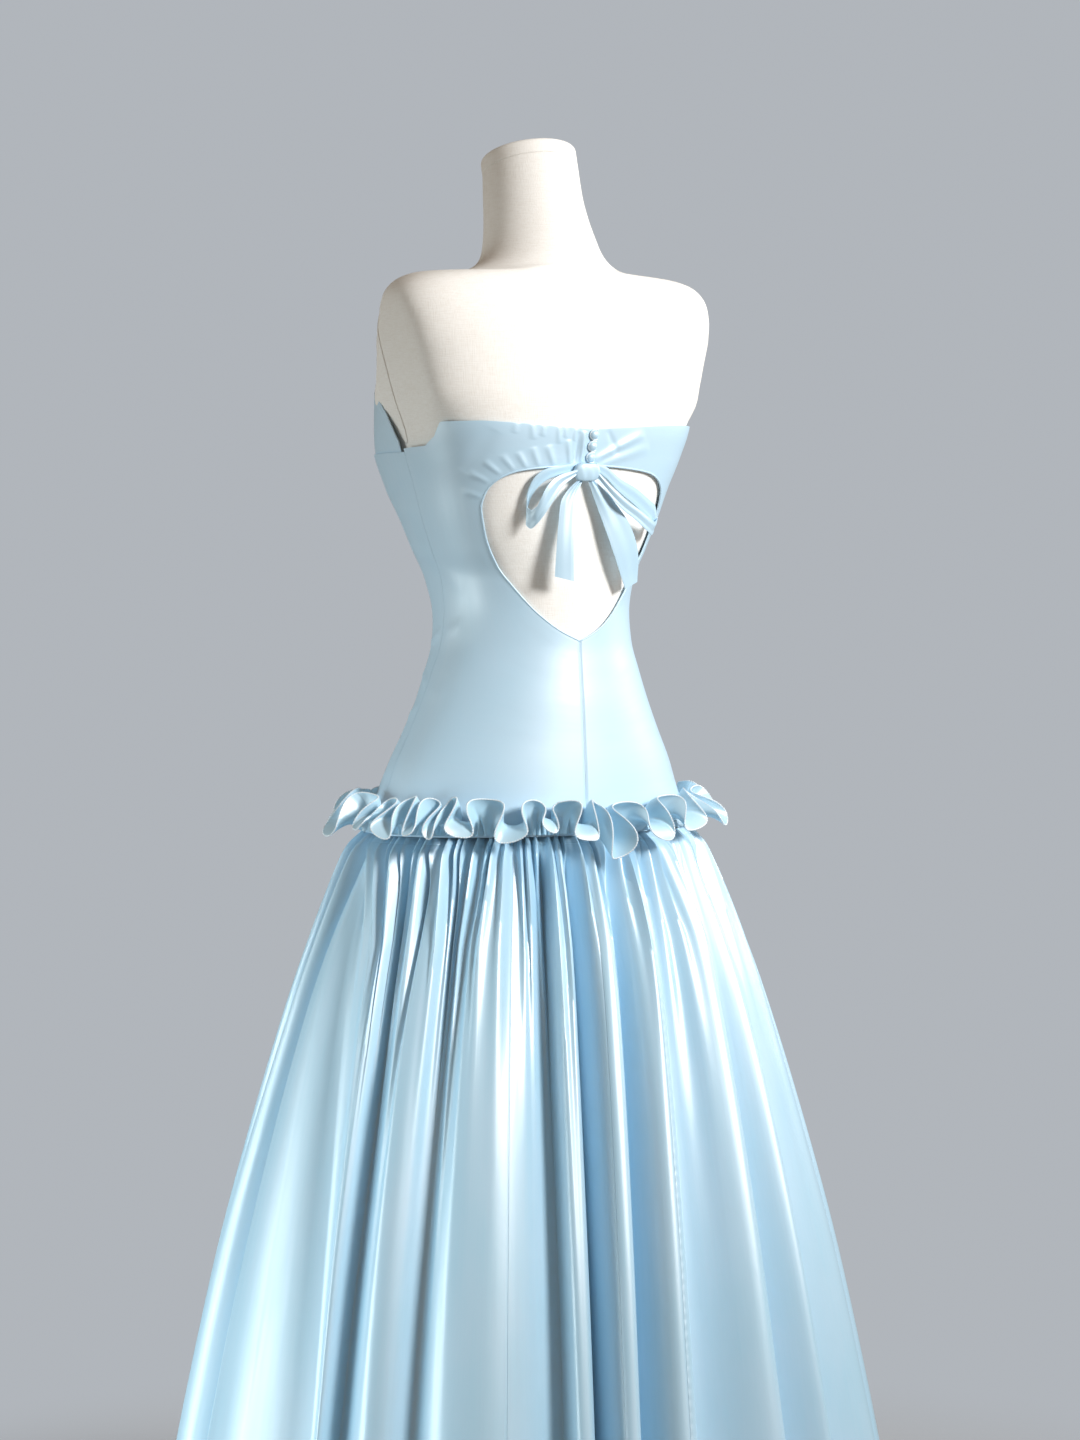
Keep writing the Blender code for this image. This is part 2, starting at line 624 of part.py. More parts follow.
def skirt():
    """The gathered panels, cut from one folded surface."""
    outer = skirt_grid(SKIRT_LEVELS)
    normals, mitre = surface_normals(outer, around=True)
    away = np.sign(np.sum(normals[0, 0, :2] * outer[0, 0, :2]))
    inner = outer - away * normals * mitre * WALL
    inner[..., 2] = outer[..., 2]
    columns = outer.shape[1]
    seams = [int(round(2 * (FIRST_GATHER - gather))) for _, gather in SKIRT_PANELS]
    seams.append(seams[0] + columns)
    for (name, _), start, end in zip(SKIRT_PANELS, seams, seams[1:]):
        picked = np.arange(start, end + 1) % columns
        outer_part, inner_part = outer[:, picked].copy(), inner[:, picked].copy()
        shrink_ends(outer_part)
        shrink_ends(inner_part)
        cloth_wall(name, outer_part, inner_part, satin)


def ruffle_grid():
    """Points of the gathered strip, from its seam to its free edge, all the way round."""
    half = WAVE_COLUMNS // 2
    lobes, standing = WAVES[:, :3], WAVES[:, 3:]
    next_lobes = np.roll(lobes, -1, axis=0)
    next_lobes[-1, 0] -= 360.0
    starts = np.stack([lobes, standing], axis=1).reshape(-1, 3)
    ends = np.stack([standing, next_lobes], axis=1).reshape(-1, 3)
    turn = np.tile(np.arange(half) / half, len(starts))
    start, end = np.repeat(starts, half, axis=0), np.repeat(ends, half, axis=0)
    from_lobe = np.repeat(np.tile((1.0, -1.0), len(WAVES)), half)
    ease = (1 - np.cos(np.pi * turn)) / 2
    reach = start[:, 1] + (end[:, 1] - start[:, 1]) * ease
    rise = start[:, 2] + (end[:, 2] - start[:, 2]) * ease - RUFFLE_BOTTOM
    lobe = 0.5 + from_lobe * (0.5 - ease)
    plain = start[:, 0] + (end[:, 0] - start[:, 0]) * turn
    meander = (end[:, 0] - start[:, 0]) * WAVE_OVERHANG * np.sin(2 * np.pi * turn)

    share = np.array(RUFFLE_ROWS)[:, None]
    azimuth = plain + meander * share
    height = RUFFLE_BOTTOM + rise * share + LOBE_ROLL * lobe * np.sin(np.pi * share)
    out = GAP + WALL + reach * (0.7 * share + 0.3 * share ** 2)
    return bodice_point(azimuth, height, out), plain


def ruffle():
    """The strip in two pieces, seamed at the sides."""
    outer, azimuth = ruffle_grid()
    normals, mitre = surface_normals(outer, around=True)
    away = np.sign(np.sum(normals[0, 0, :2] * outer[0, 0, :2]))
    inner = outer - away * normals * mitre * WALL
    inner[0, :, 2] = outer[0, :, 2]
    columns = outer.shape[1]
    start, end = (int(np.argmin(np.abs(azimuth - seam))) for seam in RUFFLE_SEAMS)
    spans = (("ruffle_back", start, end), ("ruffle_front", end, start + columns))
    for name, first, last in spans:
        picked = np.arange(first, last + 1) % columns
        outer_part, inner_part = outer[:, picked].copy(), inner[:, picked].copy()
        shrink_ends(outer_part)
        shrink_ends(inner_part)
        cloth_wall(name, outer_part, inner_part, satin)


def ribbon(name, first_edge, second_edge):
    """A strip of doubled satin between two edges, each given as azimuth, height and out."""
    across = np.linspace(0.0, 1.0, RIBBON_COLUMNS)[None, :]
    azimuth, height, out = (first[:, None] + (second - first)[:, None] * across
                            for first, second in zip(first_edge, second_edge))
    middle = bodice_point(azimuth, height, out)
    normals, _ = surface_normals(middle)
    half = normals * RIBBON_WALL / 2
    return cloth_wall(name, middle + half, middle - half, satin)


def bow():
    """Knot, two loops that stand open and two hanging tails."""
    for name, table in (("bow_loop_left", LOOP_LEFT), ("bow_loop_right", LOOP_RIGHT)):
        ribbon(name, (table[:, 0], table[:, 1], table[:, 4]), (table[:, 2], table[:, 3], table[:, 4]))
    for name, table in (("bow_tail_left", TAIL_LEFT), ("bow_tail_right", TAIL_RIGHT)):
        ribbon(name, (table[:, 0], table[:, 1], table[:, 4]), (table[:, 2], table[:, 3], table[:, 5]))
    knot()


def knot():
    """The rounded wrap of satin that holds the bow."""
    origin, across, up, outward = surface_frame(KNOT_AZIMUTH, KNOT_HEIGHT, KNOT_OUT)
    rings = []
    for turn in np.radians(np.linspace(-KNOT_TURN, KNOT_TURN, KNOT_RINGS)):
        flat = math.cos(turn) ** 0.5
        lift = math.sin(turn) / math.sin(math.radians(KNOT_TURN))
        ring = []
        for k in range(KNOT_SIDES):
            angle = 2 * math.pi * k / KNOT_SIDES
            east = math.copysign(abs(math.cos(angle)) ** KNOT_SQUARENESS, math.cos(angle))
            ahead = math.copysign(abs(math.sin(angle)) ** KNOT_SQUARENESS, math.sin(angle))
            ring.append(origin + across * (KNOT_SIZE[0] / 2 * flat * east)
                        + outward * (KNOT_SIZE[1] / 2 * flat * ahead) + up * (KNOT_SIZE[2] / 2 * lift))
        rings.append(ring)
    loft("bow_knot", rings, satin)


def buttons():
    """Three covered domes that lie on the back band."""
    for name, azimuth, height in BUTTONS:
        seat, across, up, outward = surface_frame(azimuth, height, GAP)
        rings = []
        for tilt in np.radians(BUTTON_TILTS):
            radius = BUTTON_RADIUS * math.cos(tilt)
            out = BUTTON_HEIGHT * math.sin(tilt)
            turns = (2 * math.pi * k / BUTTON_SIDES for k in range(BUTTON_SIDES))
            rings.append([seat + outward * out + across * (radius * math.cos(t))
                          + up * (radius * math.sin(t)) for t in turns])
        loft(name, rings, satin)


def form_angles():
    """Column angles around the form, closer together beside the armholes."""
    half = list(FORM_HALF_ANGLES)
    return np.radians(half + [180] + [360 - angle for angle in half[:0:-1]])


def form_ring(width, back, front, back_power, front_power, side_height, back_height, front_height):
    """One ring of the form above the bodice, with its own height at side, back and front."""
    middle = (back + front) / 2
    depth = (back - front) / 2
    ring = []
    for angle in form_angles():
        sine, cosine = math.sin(angle), math.cos(angle)
        power = back_power if cosine > 0 else front_power
        radius = (abs(sine / width) ** power + abs(cosine / depth) ** power) ** (-1 / power)
        end_height = back_height if cosine > 0 else front_height
        height = side_height + (end_height - side_height) * cosine * cosine
        ring.append([radius * sine, middle + radius * cosine, height])
    return ring


def plate_plane(height):
    """Half width of the flat armhole face at a height."""
    return PLATE_X + PLATE_SLOPE * (height - PLATE_HEIGHT)


def form_torso():
    """Limbless torso with a neck, flat at the armholes and closed under the hips."""
    rings = [form_ring(width, back, -front, 2.0, 2.0, height, height, height)
             for height, width, back, front in FORM_HIPS]
    angles = form_angles()
    for height in FORM_LEVELS:
        toward_back = (1 + np.cos(angles)) / 2
        inset = FORM_INSET_FRONT + (FORM_INSET_BACK - FORM_INSET_FRONT) * toward_back
        ring = bodice_point(np.degrees(angles), height, -inset)
        narrowing = np.clip((HIP_LEVEL - height) / HIP_RUN, 0, 1) * HIP_INSET
        scale = 1 - narrowing / np.linalg.norm(ring[:, :2], axis=1)
        ring[:, :2] *= scale[:, None]
        rings.append(ring.tolist())
    rings += [form_ring(*row) for row in FORM_SHOULDERS]
    rings.append(neck_ring(NECK_RADIUS, 0.0))
    for ring in rings:
        for point in ring:
            if point[2] > PLATE_FACE_BOTTOM:
                face = plate_plane(point[2])
                spare = (face - abs(point[0])) / PLATE_SOFTNESS
                within = face - PLATE_SOFTNESS * (spare + math.sqrt(spare * spare + 1)) / 2
                point[0] = math.copysign(min(within, abs(point[0])), point[0])
    loft("form_torso", rings, form_cover)


def neck_ring(radius, lift):
    """A ring in the tilted plane of the neck's top."""
    ring = []
    for angle in form_angles():
        forward = radius * math.cos(angle)
        ring.append([radius * math.sin(angle),
                     NECK_Y + forward * math.cos(NECK_TILT) - lift * math.sin(NECK_TILT),
                     NECK_TOP + forward * math.sin(NECK_TILT) + lift * math.cos(NECK_TILT)])
    return ring


def neck_cap():
    """The round cap on the neck, with a softened upper edge."""
    profile = ((NECK_RADIUS - CAP_REBATE, GAP), (NECK_RADIUS, GAP + CAP_REBATE),
               (NECK_RADIUS, CAP_THICKNESS - CAP_EDGE),
               (NECK_RADIUS - 0.3 * CAP_EDGE, CAP_THICKNESS - 0.3 * CAP_EDGE),
               (NECK_RADIUS - CAP_EDGE, CAP_THICKNESS))
    loft("form_neck_cap", [neck_ring(radius, lift) for radius, lift in profile], form_cover)


def arm_plate(name, side):
    """The egg-shaped cover that closes one armhole of the form."""
    back = [(y, height) for height, y, _ in PLATE_OUTLINE]
    front = [(y, height) for height, _, y in reversed(PLATE_OUTLINE)]
    outline = back + front
    middle_y = sum(y for y, _ in outline) / len(outline)
    middle_height = sum(height for _, height in outline) / len(outline)
    rings = []
    for out, scale in ((GAP, 1.0), (0.7 * PLATE_THICKNESS, 1.0), (PLATE_THICKNESS, 0.965)):
        ring = []
        for y, height in outline:
            level = middle_height + (height - middle_height) * scale
            place = middle_y + (y - middle_y) * scale
            ring.append((side * (plate_plane(level) + out), place, level))
        rings.append(ring)
    loft(name, rings, form_cover)


def stand():
    """Base, pole and the collar under the form."""
    under_form = FORM_HIPS[0][0]
    turned("stand_base", (
        (BASE_RADIUS - BASE_EDGE, 0.0), (BASE_RADIUS, BASE_EDGE),
        (BASE_RADIUS, BASE_THICKNESS - BASE_EDGE), (BASE_RADIUS - BASE_EDGE, BASE_THICKNESS),
    ), (0.0, 0.0), STAND_SEGMENTS, stand_steel)
    collar_bottom = under_form - GAP - COLLAR_HEIGHT
    turned("stand_pole", (
        (POLE_RADIUS, BASE_THICKNESS + GAP), (POLE_RADIUS, collar_bottom - GAP),
    ), (0.0, 0.0), STAND_SEGMENTS // 2, stand_steel)
    turned("stand_collar", (
        (COLLAR_RADIUS * 0.7, collar_bottom), (COLLAR_RADIUS, collar_bottom + 0.008),
        (COLLAR_RADIUS, under_form - GAP),
    ), (0.0, 0.0), STAND_SEGMENTS // 2, stand_steel)


def main():
    for leftover in list(bpy.data.objects):
        bpy.data.objects.remove(leftover, do_unlink=True)
    back_panel("back_left", 1)
    back_panel("back_right", -1)
    front_lower()
    front_upper()
    skirt()
    ruffle()
    bow()
    buttons()
    form_torso()
    neck_cap()
    arm_plate("form_arm_plate_left", 1)
    arm_plate("form_arm_plate_right", -1)
    stand()


main()
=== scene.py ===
"""Looks of an A-line evening dress in pale blue satin on a linen-covered dress form.

Metres, +Z up. The open back of the dress faces +Y and the wearer's left is +X.
Azimuths are in degrees from the centre back towards the wearer's left.
"""

import math

import bmesh
import bpy
import numpy as np
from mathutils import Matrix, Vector


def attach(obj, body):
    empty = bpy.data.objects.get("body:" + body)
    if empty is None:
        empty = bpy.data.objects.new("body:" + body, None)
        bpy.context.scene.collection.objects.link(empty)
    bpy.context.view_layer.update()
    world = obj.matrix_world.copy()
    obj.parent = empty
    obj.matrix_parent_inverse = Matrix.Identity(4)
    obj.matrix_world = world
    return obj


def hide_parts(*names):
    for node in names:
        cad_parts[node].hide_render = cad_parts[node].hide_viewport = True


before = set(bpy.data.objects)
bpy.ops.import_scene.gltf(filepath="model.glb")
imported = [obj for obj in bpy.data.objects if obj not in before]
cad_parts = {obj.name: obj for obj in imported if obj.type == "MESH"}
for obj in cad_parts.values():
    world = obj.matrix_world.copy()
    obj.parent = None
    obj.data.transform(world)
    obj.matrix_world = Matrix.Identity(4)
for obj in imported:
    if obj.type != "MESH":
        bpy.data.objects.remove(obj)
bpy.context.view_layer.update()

# Cloth
WALL = 0.0012
SEAM_GAP = 0.0003
RIBBON_WALL = 0.0009
SHARP_ANGLE = 55.0
SEAM_DEPTH = 0.0009
SEAM_WIDTH = 0.0022
EDGE_ROLL = 0.0010
GIRTH_RADIUS = 0.13

# Heights of the dress
HEM_HEIGHT = 0.009
SKIRT_TOP = 0.8675
BODICE_BOTTOM = 0.8678
RUFFLE_BOTTOM = 0.8700
SIDE_SEAM = 92.0
OVERLAY_EDGE = 1.2590
UNDERARM = 1.2625

# Points in the bodice's grids
BACK_ROWS = (96, 64, 60)
BACK_COLUMNS = 44
FRONT_ROWS = 90
FRONT_COLUMNS = 150
CUP_ROWS = 22
CUP_COLUMNS = (26, 96, 26)
CUP_AZIMUTHS = (96.0, 111.0, 249.0, 264.0)
CUP_TUCK = (1.246, 1.2525)
CUP_OUT = -0.0017
CREASE_MARGIN = 1.6
SIDE_TOP_SHARE = 0.39
SIDE_BOTTOM_SHARE = 0.70

# Outer surface of the bodice
BODICE_SECTIONS = np.array([
    # height, half width, back, front, middle y, squareness
    (0.863, 0.1860, 0.1190, 0.130, 0.000, 2.0),
    (0.907, 0.1680, 0.1170, 0.127, 0.000, 2.0),
    (0.939, 0.1565, 0.1150, 0.112, 0.001, 2.0),
    (0.970, 0.1420, 0.1125, 0.100, 0.002, 2.0),
    (1.002, 0.1280, 0.1100, 0.092, 0.003, 2.0),
    (1.033, 0.1165, 0.1065, 0.092, 0.004, 2.0),
    (1.065, 0.1060, 0.1040, 0.096, 0.005, 2.0),
    (1.096, 0.1027, 0.1050, 0.106, 0.005, 2.0),
    (1.128, 0.1060, 0.1070, 0.120, 0.005, 2.1),
    (1.159, 0.1175, 0.1100, 0.127, 0.006, 2.3),
    (1.191, 0.1290, 0.1135, 0.133, 0.007, 2.5),
    (1.222, 0.1380, 0.1180, 0.150, 0.008, 2.7),
    (1.254, 0.1490, 0.1235, 0.152, 0.010, 2.9),
    (1.285, 0.1580, 0.1290, 0.135, 0.012, 3.0),
    (1.330, 0.1650, 0.1320, 0.115, 0.016, 3.0),
])
CUTOUT = np.array([
    # share of the way round, cutout azimuth, cutout height
    (0.00, 0.0, 1.2450),
    (0.07, 11.0, 1.2441),
    (0.14, 22.0, 1.2425),
    (0.22, 36.0, 1.2385),
    (0.29, 45.0, 1.2300),
    (0.35, 51.0, 1.2160),
    (0.41, 53.5, 1.1980),
    (0.48, 53.0, 1.1740),
    (0.56, 49.0, 1.1440),
    (0.64, 39.0, 1.1180),
    (0.73, 27.0, 1.0950),
    (0.86, 13.0, 1.0765),
    (1.00, 0.0, 1.0655),
])
BACK_EDGE = np.array([
    # share of the way round, edge azimuth, edge height
    (0.00, 0.0, 1.2810),
    (0.08, 20.0, 1.2835),
    (0.20, 50.0, 1.2880),
    (0.25, 66.0, 1.2875),
    (0.29, 69.5, 1.2730),
    (0.33, 75.5, 1.2640),
    (SIDE_TOP_SHARE, SIDE_SEAM, UNDERARM),
    (SIDE_BOTTOM_SHARE, SIDE_SEAM, BODICE_BOTTOM),
    (1.00, 0.0, BODICE_BOTTOM),
])
NECKLINE = np.array([
    # azimuth, height
    (SIDE_SEAM, UNDERARM),
    (96.0, 1.2700),
    (99.0, 1.2850),
    (103.0, 1.3000),
    (111.0, 1.3160),
    (122.0, 1.3240),
    (138.0, 1.3290),
    (152.0, 1.3270),
    (166.0, 1.3150),
    (180.0, 1.3040),
])
BACK_CREASES = np.array([
    # from azimuth, from height, to azimuth, to height, half width, height out
    (-3.0, 1.2500, -29.0, 1.2775, 0.0042, 0.0022),
    (-5.0, 1.2440, -33.0, 1.2640, 0.0050, 0.0014),
    (-9.0, 1.2800, -16.0, 1.2560, 0.0032, -0.0010),
    (5.5, 1.2480, 4.2, 1.2790, 0.0024, 0.0018),
    (8.8, 1.2470, 7.5, 1.2780, 0.0022, -0.0013),
    (11.5, 1.2455, 13.0, 1.2700, 0.0030, 0.0012),
    (20.0, 1.2435, 23.5, 1.2640, 0.0036, 0.0012),
    (27.5, 1.2425, 30.5, 1.2620, 0.0030, 0.0011),
    (33.0, 1.2405, 37.0, 1.2570, 0.0026, 0.0012),
    (38.5, 1.2385, 43.5, 1.2540, 0.0026, 0.0011),
    (44.0, 1.2345, 50.5, 1.2480, 0.0026, 0.0012),
    (49.0, 1.2265, 57.0, 1.2370, 0.0026, 0.0011),
    (52.5, 1.2120, 61.0, 1.2180, 0.0030, 0.0008),
    (46.0, 1.2790, 58.0, 1.2360, 0.0085, -0.0012),
    (89.0, 1.1360, 70.0, 1.1210, 0.0070, 0.0009),
    (90.0, 1.0730, 74.0, 1.0820, 0.0045, 0.0012),
    (90.0, 1.0180, 76.0, 1.0090, 0.0050, 0.0010),
    (9.0, 1.2815, 10.0, 1.2690, 0.0020, 0.0010),
    (14.5, 1.2825, 15.0, 1.2720, 0.0018, 0.0008),
    (18.5, 1.2830, 18.0, 1.2660, 0.0024, 0.0010),
    (25.5, 1.2840, 26.5, 1.2730, 0.0020, 0.0009),
    (31.0, 1.2850, 30.5, 1.2700, 0.0024, 0.0009),
    (37.5, 1.2860, 38.5, 1.2760, 0.0020, 0.0008),
    (-20.0, 1.1000, -44.0, 1.1220, 0.0060, 0.0009),
    (-88.0, 1.0760, -66.0, 1.0890, 0.0050, 0.0012),
    (-88.0, 1.1450, -64.0, 1.1250, 0.0070, 0.0010),
    (-88.0, 1.0200, -70.0, 1.0050, 0.0050, 0.0010),
])
FRONT_CREASES = np.array([
    # from azimuth, from height, to azimuth, to height, half width, height out
    (94.0, 1.2360, 128.0, 1.2180, 0.0060, 0.0013),
    (94.0, 1.1980, 126.0, 1.1990, 0.0055, 0.0012),
    (93.0, 1.1500, 118.0, 1.1600, 0.0060, 0.0011),
    (93.5, 1.0740, 112.0, 1.0620, 0.0034, 0.0022),
    (93.5, 1.0200, 108.0, 1.0330, 0.0034, 0.0020),
    (93.5, 0.9960, 106.0, 0.9870, 0.0034, 0.0018),
    (266.0, 1.2330, 232.0, 1.2160, 0.0060, 0.0013),
    (266.0, 1.1850, 236.0, 1.1930, 0.0060, 0.0011),
    (266.5, 1.0780, 248.0, 1.0660, 0.0036, 0.0020),
    (266.5, 1.0260, 251.0, 1.0380, 0.0036, 0.0016),
    (150.0, 1.0950, 205.0, 1.0870, 0.0060, 0.0010),
    (160.0, 1.0600, 212.0, 1.0680, 0.0060, -0.0009),
])

# Skirt
SKIRT_SECTIONS = np.array([
    # height, half width, half depth, middle y
    (HEM_HEIGHT, 0.4274, 0.3754, 0.0000),
    (0.1000, 0.4106, 0.3577, 0.0000),
    (0.2700, 0.3775, 0.3227, 0.0000),
    (0.4200, 0.3447, 0.2884, 0.0000),
    (0.5600, 0.3071, 0.2493, 0.0000),
    (0.7000, 0.2647, 0.2055, 0.0000),
    (0.7500, 0.2470, 0.1880, -0.0005),
    (0.8000, 0.2279, 0.1676, -0.0015),
    (0.8300, 0.2150, 0.1540, -0.0030),
    (0.8520, 0.2030, 0.1420, -0.0045),
    (SKIRT_TOP, 0.1860, 0.1245, -0.0055),
])
GATHERS = 96
GATHER_COLUMNS = 8
SKIRT_ROWS = 112
ROW_CROWDING = 1.45
FOLD_GROWTH = 0.085
TOP_DEPTH_SHARE = 0.66
GATHER_RUN = 0.12
SPREAD_POWER = 2.5
FIRST_GATHER = 25.0
GATHER_WANDER = (
    # gathers to each side, turn in each gather, start
    (0.20, 1.9, 0.0),
    (0.13, 4.3, 1.0),
)
# Each pair is the least value and how much more the gathers differ by
PLEAT_DEPTH = (0.0085, 0.0070)
PLEAT_LENGTH = (0.075, 0.16)
PLEAT_LENGTH_POWER = 1.6
PLEAT_SHARPNESS = 1.2
PLEAT_FADE = 1.3
HOLLOW_GATHERS = 2.6
HOLLOW_LENGTH = (0.075, 0.10)
HOLLOW_DEPTH = (0.0090, 0.0110)
HOLLOW_START = 0.032
RIPPLE_START = 0.25
FOLDS = np.array([
    # gathers, azimuth of the left valley at the hem, its depth, place of the crest, fullness, pinch
    (1.0, 112.0, 0.030, 0.50, 1.3, 0.50),
    (0.6, 98.0, 0.034, 0.42, 1.1, 0.60),
    (5.6, 67.8, 0.026, 0.80, 1.1, 0.15),
    (4.9, 63.7, 0.030, 0.58, 1.0, 0.25),
    (7.4, 51.0, 0.034, 0.40, 1.1, 0.40),
    (3.0, 23.2, 0.044, 0.50, 1.5, 0.45),
    (4.0, 16.6, 0.068, 0.60, 1.4, 0.40),
    (4.0, 8.4, 0.068, 0.64, 1.4, 0.45),
    (6.0, -2.9, 0.056, 0.76, 0.95, 0.20),
    (3.0, -25.4, 0.050, 0.74, 0.95, 0.25),
    (6.5, -36.1, 0.050, 0.70, 1.0, 0.25),
    (4.5, -62.0, 0.048, 0.45, 2.4, 0.80),
    (3.5, -77.0, 0.038, 0.55, 1.8, 0.70),
    (5.0, -93.0, 0.052, 0.40, 2.0, 0.60),
    (4.0, -107.0, 0.044, 0.58, 2.4, 0.80),
    (3.5, -126.0, 0.050, 0.46, 1.8, 0.60),
    (5.5, -139.0, 0.040, 0.60, 2.6, 0.80),
    (4.0, -158.0, 0.054, 0.42, 1.8, 0.60),
    (4.5, -174.0, 0.046, 0.55, 2.4, 0.75),
    (3.5, -193.0, 0.040, 0.44, 1.6, 0.60),
    (5.0, -205.0, 0.052, 0.60, 2.2, 0.80),
    (3.5, -224.0, 0.044, 0.42, 1.8, 0.65),
    (3.5, -238.0, 0.048, 0.52, 1.8, 0.70),
])
RIPPLES = (
    # waves in each gather, height out, drift with the drop, start
    (0.210, 0.0013, 5.0, 0.4),
    (0.370, 0.0010, -7.0, 1.9),
    (0.083, 0.0020, 2.2, 4.1),
)
SKIRT_PANELS = (
    # name, gather at its left seam
    ("skirt_side_left", 24.5),
    ("skirt_back_left", 8.0),
    ("skirt_back_centre_left", 1.0),
    ("skirt_back_centre_right", -3.5),
    ("skirt_back_right", -9.0),
    ("skirt_side_right", -24.5),
    ("skirt_front_right", -37.5),
    ("skirt_front_left", -54.0),
)
# The stitching puckers the cloth beside the left seam of this panel
PUCKERED_PANEL = "skirt_back_centre_right"

# Ruffle
RUFFLE_SEAMS = (92.5, -91.5)
WAVES = np.array([
    # lobe azimuth, lobe reach, lobe height, standing azimuth, standing reach, standing height
    (116.0, 0.034, 0.868, 108.0, 0.010, 0.9085),
    (99.0, 0.036, 0.866, 90.0, 0.009, 0.9085),
    (84.0, 0.027, 0.874, 79.5, 0.009, 0.9065),
    (75.0, 0.028, 0.869, 71.0, 0.010, 0.9075),
    (67.0, 0.029, 0.872, 63.8, 0.010, 0.9070),
    (60.8, 0.026, 0.868, 58.2, 0.009, 0.9080),
    (53.5, 0.027, 0.872, 45.5, 0.014, 0.9070),
    (35.3, 0.024, 0.866, 27.5, 0.010, 0.9060),
    (21.5, 0.027, 0.874, 17.2, 0.010, 0.9030),
    (5.0, 0.030, 0.866, 0.8, 0.009, 0.9020),
    (-3.6, 0.033, 0.846, -14.0, 0.010, 0.9010),
    (-27.0, 0.030, 0.861, -37.5, 0.011, 0.9040),
    (-45.5, 0.030, 0.870, -54.5, 0.010, 0.9080),
    (-63.0, 0.035, 0.868, -70.0, 0.011, 0.9080),
    (-79.0, 0.027, 0.876, -86.0, 0.009, 0.9090),
    (-96.0, 0.033, 0.869, -106.0, 0.012, 0.9060),
    (-115.0, 0.026, 0.877, -121.0, 0.009, 0.9090),
    (-128.0, 0.031, 0.868, -139.0, 0.013, 0.9070),
    (-148.0, 0.027, 0.874, -154.0, 0.009, 0.9080),
    (-160.5, 0.034, 0.864, -169.0, 0.011, 0.9040),
    (-178.0, 0.028, 0.873, -185.0, 0.009, 0.9090),
    (-193.0, 0.031, 0.867, -203.5, 0.013, 0.9070),
    (-211.0, 0.026, 0.876, -216.5, 0.009, 0.9090),
    (-223.0, 0.030, 0.870, -229.0, 0.010, 0.9080),
    (-235.5, 0.028, 0.874, -240.0, 0.011, 0.9090),
])
WAVE_COLUMNS = 32
WAVE_OVERHANG = 0.36
RUFFLE_ROWS = 18
RUFFLE_WIDTH = 0.0410
RUFFLE_PLEATS = 5.0
RUFFLE_PLEAT_DEPTH = 0.0058
RUFFLE_PLEAT_RUN = 0.55
RUFFLE_PLEAT_DRIFT = (1.3, 2.1)
CRINKLE_DRIFT = 1.8
CURL_BENDS = np.linspace(0.02, 2.6, 400)
RUFFLE_CRINKLES = (
    # waves in each lobe, distance out, rise, start
    (1.37, 0.0030, 0.0022, 0.7),
    (2.61, 0.0022, 0.0016, 2.9),
)
EDGING_RADIUS = 0.0008
EDGING_BEAD = 0.0003
EDGING_STITCH = 0.0028

# Bow at the lower edge of the back band
KNOT_AZIMUTH = 2.6
KNOT_HEIGHT = 1.2378
KNOT_SIZE = (0.0290, 0.0095, 0.0175)
KNOT_OUT = 0.0060
KNOT_TURN = 66.0
KNOT_SIDES = 72
KNOT_RINGS = 25
KNOT_CROWN = 0.5
KNOT_SQUARENESS = 0.7
KNOT_PLEAT_DEPTH = 0.055
KNOT_PLEATS = 9.5
KNOT_PLEAT_LEAN = 0.9
KNOT_PLEAT_FADE = 0.6
# Folds along a ribbon: place across, width, rise, fade along the length
LOOP_FOLDS = ((0.30, 0.16, 0.0012, 2.0), (0.70, 0.14, -0.0010, 2.5))
TAIL_FOLDS = ((0.35, 0.15, 0.0016, 3.0), (0.68, 0.13, -0.0012, 3.0))
LOOP_LEFT = np.array([
    # upper azimuth, upper height, lower azimuth, lower height, out
    (8.8, 1.2400, 8.8, 1.2345, 0.0080),
    (19.6, 1.2318, 16.2, 1.2228, 0.0120),
    (24.0, 1.2222, 20.8, 1.2080, 0.0150),
    (26.4, 1.2110, 24.6, 1.1950, 0.0165),
    (28.3, 1.2020, 27.6, 1.1858, 0.0150),
    (30.6, 1.1990, 30.6, 1.1802, 0.0105),
    (32.6, 1.2030, 32.9, 1.1845, 0.0065),
    (32.6, 1.2130, 32.9, 1.1950, 0.0042),
    (31.1, 1.2248, 31.5, 1.2080, 0.0034),
    (28.1, 1.2350, 28.5, 1.2200, 0.0034),
    (23.0, 1.2412, 23.0, 1.2300, 0.0036),
    (16.0, 1.2440, 16.0, 1.2352, 0.0026),
    (9.3, 1.2466, 9.3, 1.2372, 0.0009),
])
LOOP_RIGHT = np.array([
    # upper azimuth, upper height, lower azimuth, lower height, out
    (-3.5, 1.2370, -3.5, 1.2300, 0.0080),
    (-9.9, 1.2225, -8.4, 1.2150, 0.0140),
    (-16.2, 1.2110, -14.4, 1.2020, 0.0170),
    (-24.0, 1.2010, -23.0, 1.1905, 0.0175),
    (-33.0, 1.1920, -32.6, 1.1795, 0.0155),
    (-40.5, 1.1880, -40.5, 1.1745, 0.0115),
    (-45.6, 1.1930, -45.4, 1.1780, 0.0075),
    (-44.2, 1.2030, -44.0, 1.1860, 0.0044),
    (-35.4, 1.2138, -35.0, 1.1980, 0.0034),
    (-27.0, 1.2231, -26.6, 1.2080, 0.0034),
    (-18.0, 1.2312, -17.6, 1.2190, 0.0036),
    (-9.2, 1.2435, -9.0, 1.2335, 0.0024),
    (-4.2, 1.2468, -4.2, 1.2385, 0.0009),
])
